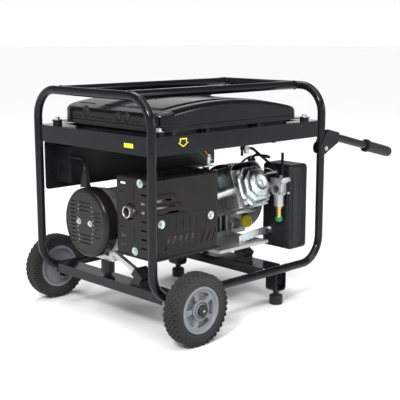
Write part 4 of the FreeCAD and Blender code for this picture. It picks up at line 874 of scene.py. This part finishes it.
def tap_details():
    """A hex nut and a filter cup on the fuel tap."""
    low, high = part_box("fuel_valve")
    centre = (low + high) / 2
    mesh = bmesh.new()
    turned(mesh, [(0, -4), (8.4, -4), (9.2, -3), (9.2, 3), (8.4, 4), (0, 4)],
           Vector((centre.x, centre.y, high.z - 3 * MM)), (0, 0, 1), 6)
    turned(mesh, [(0, -13), (5.5, -13), (7.5, -11), (7.8, 0), (0, 0)],
           Vector((centre.x, centre.y, low.z + 3 * MM)), (0, 0, 1), 28)
    piece("tap_nut_and_cup", mesh, ZINC, "root", 35)


def air_box_details():
    """The moulded contour, joint bead and rib on the air cleaner's case."""
    mesh = bmesh.new()
    low, high = (Vector(v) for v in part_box("air_box"))
    x0, y0, z0 = (low - ORIGIN) / MM
    x1, y1, z1 = (high - ORIGIN) / MM
    for x in (x1 - 0.4, x1 - 5.0):
        swept(mesh, [at(x, y0 + 0.2, z) for z in (z0 + 22, z1 - 22)], 1.3, 8)
    contour = [at(x0 - 0.1, y0 + 18, z0 + 26), at(x0 - 0.1, y0 + 16, z1 - 70),
               at(x0 - 0.1, y0 + 22, z1 - 44), at(x0 - 0.1, y0 + 40, z1 - 30),
               at(x0 - 0.1, y1 - 34, z1 - 26), at(x0 - 0.1, y1 - 14, z1 - 40)]
    swept(mesh, smooth_line(contour, 6), 2.4, 10)
    front = [at(x0 + 10, y0 - 0.2, z0 + 30), at(x0 + 10, y0 - 0.2, z1 - 62),
             at(x0 + 16, y0 - 0.2, z1 - 34), at(x1 - 12, y0 - 0.2, z1 - 26)]
    swept(mesh, smooth_line(front, 6), 1.8, 10)
    piece("air_box_mouldings", mesh, PLASTIC, "root", 50)
    clips = bmesh.new()
    for z in (z0 + 70, z1 - 70):
        block(clips, at(x1 - 11, y1 - 1, z - 11), at(x1 + 12, y1 + 2.2, z + 11), 0.8)
        swept(clips, [at(x1 - 8, y1 + 3.5, z), at(x1 + 9, y1 + 3.5, z)], 2.4, 10)
    piece("air_box_clips", clips, ZINC, "root", 40)


def strap_screws():
    """Two screws in the air cleaner's strap."""
    mesh = bmesh.new()
    for x, z in ((462, 203), (590, 222)):
        turned(mesh, [(0, 6.4), (4.4, 6.4), (5.2, 5.6), (5.2, 1.8), (8.0, 1.6), (8.0, 0)],
               at(x, 107, z), (0, -1, 0), 6)
    piece("strap_screws", mesh, STEEL, "root", 30)


# ---------------------------------------------------------------- control side
def socket_faces():
    """Plain round socket faces: three contact holes and a rim each."""
    rims, holes = bmesh.new(), bmesh.new()
    for x, radius in ((330, 24), (420, 24), (520, 32)):
        place = at(x, 514.7, 445)
        turned(rims, [(radius - 2.2, -0.5), (radius - 1.4, 3.6), (radius + 2.6, 3.0),
                      (radius + 4.6, 0.6), (radius + 4.8, -0.5)], place, (0, 1, 0), 48)
        for turn in (90, 210, 330):
            spot = Vector((math.cos(math.radians(turn)), 0, math.sin(math.radians(turn))))
            turned(holes, [(3.6, -4.0), (3.6, 0.2), (3.0, 0.6), (2.4, 0.2), (2.4, -4.0)],
                   at(x, 506, 445) + spot * radius * 0.42 * MM, (0, 1, 0), 20)
    piece("socket_rims", rims, ZINC, "root", 40)
    piece("socket_contacts", holes, BRASS, "root", 40)


def meter_face():
    """Scale marks and a needle on the voltmeter."""
    marks = bmesh.new()
    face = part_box("voltmeter")[1].y
    centre = Vector((at(120, 0, 0).x, face, at(0, 0, 447).z))
    for n in range(13):
        turn = math.radians(-54 + 9 * n)
        inner = 14.5 if n % 3 else 12.5
        swept(marks, [centre + Vector((-math.sin(turn) * r, 0.02, math.cos(turn) * r)) * MM
                      for r in (inner, 18)], 0.45, 6)
    needle = math.radians(10)
    swept(marks, [centre + Vector((-math.sin(needle) * r, 0.7, math.cos(needle) * r)) * MM
                  for r in (-3, 16)], 0.6, 6)
    piece("meter_marks", marks, PANEL_PAINT, "root", 60)
    rim = bmesh.new()
    turned(rim, [(26.5, -3), (26.5, 1.2), (28, 2.2), (29.8, 1.2), (29.8, -3)],
           Vector((at(120, 0, 0).x, face, at(0, 0, 452).z)), (0, 1, 0), 48)
    piece("meter_rim", rim, STEEL, "root", 40)


def panel_screws():
    """Round-headed screws along the control panel's edges."""
    mesh = bmesh.new()
    for x in (30, 250, 470, 673):
        for z in (378, 504):
            turned(mesh, [(4.8, 0), (4.4, 1.6), (2.6, 2.6), (0, 2.8)], at(x, 514.7, z),
                   (0, 1, 0), 20)
    piece("panel_screws", mesh, STEEL, "root", 30)


def starter_ribs():
    """Radial ribs and screws on the starter cover."""
    ribs, screws = bmesh.new(), bmesh.new()
    centre = at(673, 322, 290)
    for n in range(5):
        turn = math.radians(72 * n + 36)
        spoke = Vector((0, math.cos(turn), math.sin(turn)))
        turned(screws, [(0, 6.4), (4.2, 6.4), (5.0, 5.6), (5.0, 2.0), (8, 1.8), (8, 0)],
               centre + spoke * 70.5 * MM + Vector((2 * MM, 0, 0)), (1, 0, 0), 6)
        swept(ribs, [centre + spoke * r * MM for r in (80, 103)], 1.8, 8)
    turned(ribs, [(98, -0.6), (99.4, 1.2), (101.4, 1.2), (102.6, -0.6)], centre, (1, 0, 0), 72)
    piece("starter_ribs", ribs, PANEL_PAINT, "root", 40)
    piece("starter_screws", screws, STEEL, "root", 30)


tank_details()
cap_grip()
gauge_face()
cover_details()
boot_rings()
bracket_ribs()
solenoid_cap()
carburettor_details()
tap_details()
air_box_details()
strap_screws()
socket_faces()
meter_face()
panel_screws()
starter_ribs()


# ---------------------------------------------------------------- stage
def studio():
    """A pale floor, an even sky that darkens upwards, three lamps and a wide soft sun."""
    mesh = bmesh.new()
    bmesh.ops.create_grid(mesh, x_segments=2, y_segments=2, size=40)
    data = bpy.data.meshes.new("floor")
    mesh.to_mesh(data)
    mesh.free()
    floor = bpy.data.objects.new("floor", data)
    bpy.context.scene.collection.objects.link(floor)
    data.materials.append(finish("floor_paper", (0.88, 0.88, 0.88), 0.75, grain=60, bump=0.02,
                                 mottle=0.01))
    world = bpy.data.worlds.new("studio")
    bpy.context.scene.world = world
    world.use_nodes = True
    tree = world.node_tree
    place = tree.nodes.new("ShaderNodeTexCoord")
    split = tree.nodes.new("ShaderNodeSeparateXYZ")
    tree.links.new(place.outputs["Generated"], split.inputs[0])
    height = ramp(tree, split.outputs["Z"], 0.02, 0.55)
    glow = mixed(tree, height, (1.0, 1.0, 1.0), (0.12, 0.124, 0.13))
    tree.links.new(glow, tree.nodes["Background"].inputs["Color"])
    tree.nodes["Background"].inputs["Strength"].default_value = 1.0
    lamps = [("key", (-3.0, -1.6, 2.6), 0.6, 95), ("fill", (1.6, -3.2, 1.5), 1.2, 30),
             ("top", (0.3, 1.2, 3.2), 1.4, 45)]
    for name, place, size, power in lamps:
        lamp = bpy.data.lights.new(name, "AREA")
        lamp.size = size
        lamp.energy = power
        holder = bpy.data.objects.new(name, lamp)
        holder.location = place
        holder.rotation_euler = (Vector((0, 0, 0.3)) - Vector(place)).to_track_quat(
            "-Z", "Y").to_euler()
        bpy.context.scene.collection.objects.link(holder)
    sun = bpy.data.lights.new("sky_panel", "SUN")
    sun.energy = 3.1
    sun.angle = math.radians(70)
    holder = bpy.data.objects.new("sky_panel", sun)
    holder.rotation_euler = (math.radians(18), math.radians(-14), 0)
    bpy.context.scene.collection.objects.link(holder)


def photograph_camera():
    """The camera at the photograph's viewing angle."""
    camera = bpy.data.cameras.new("camera")
    camera.lens = 81.0
    camera.sensor_width = 36.0
    holder = bpy.data.objects.new("camera", camera)
    holder.location = (-2.0576, -2.0162, 0.8398)
    holder.rotation_euler = (math.radians(79.3925), 0, math.radians(-44.033))
    bpy.context.scene.collection.objects.link(holder)
    bpy.context.scene.camera = holder


studio()
photograph_camera()
bpy.context.scene.view_settings.view_transform = "Standard"
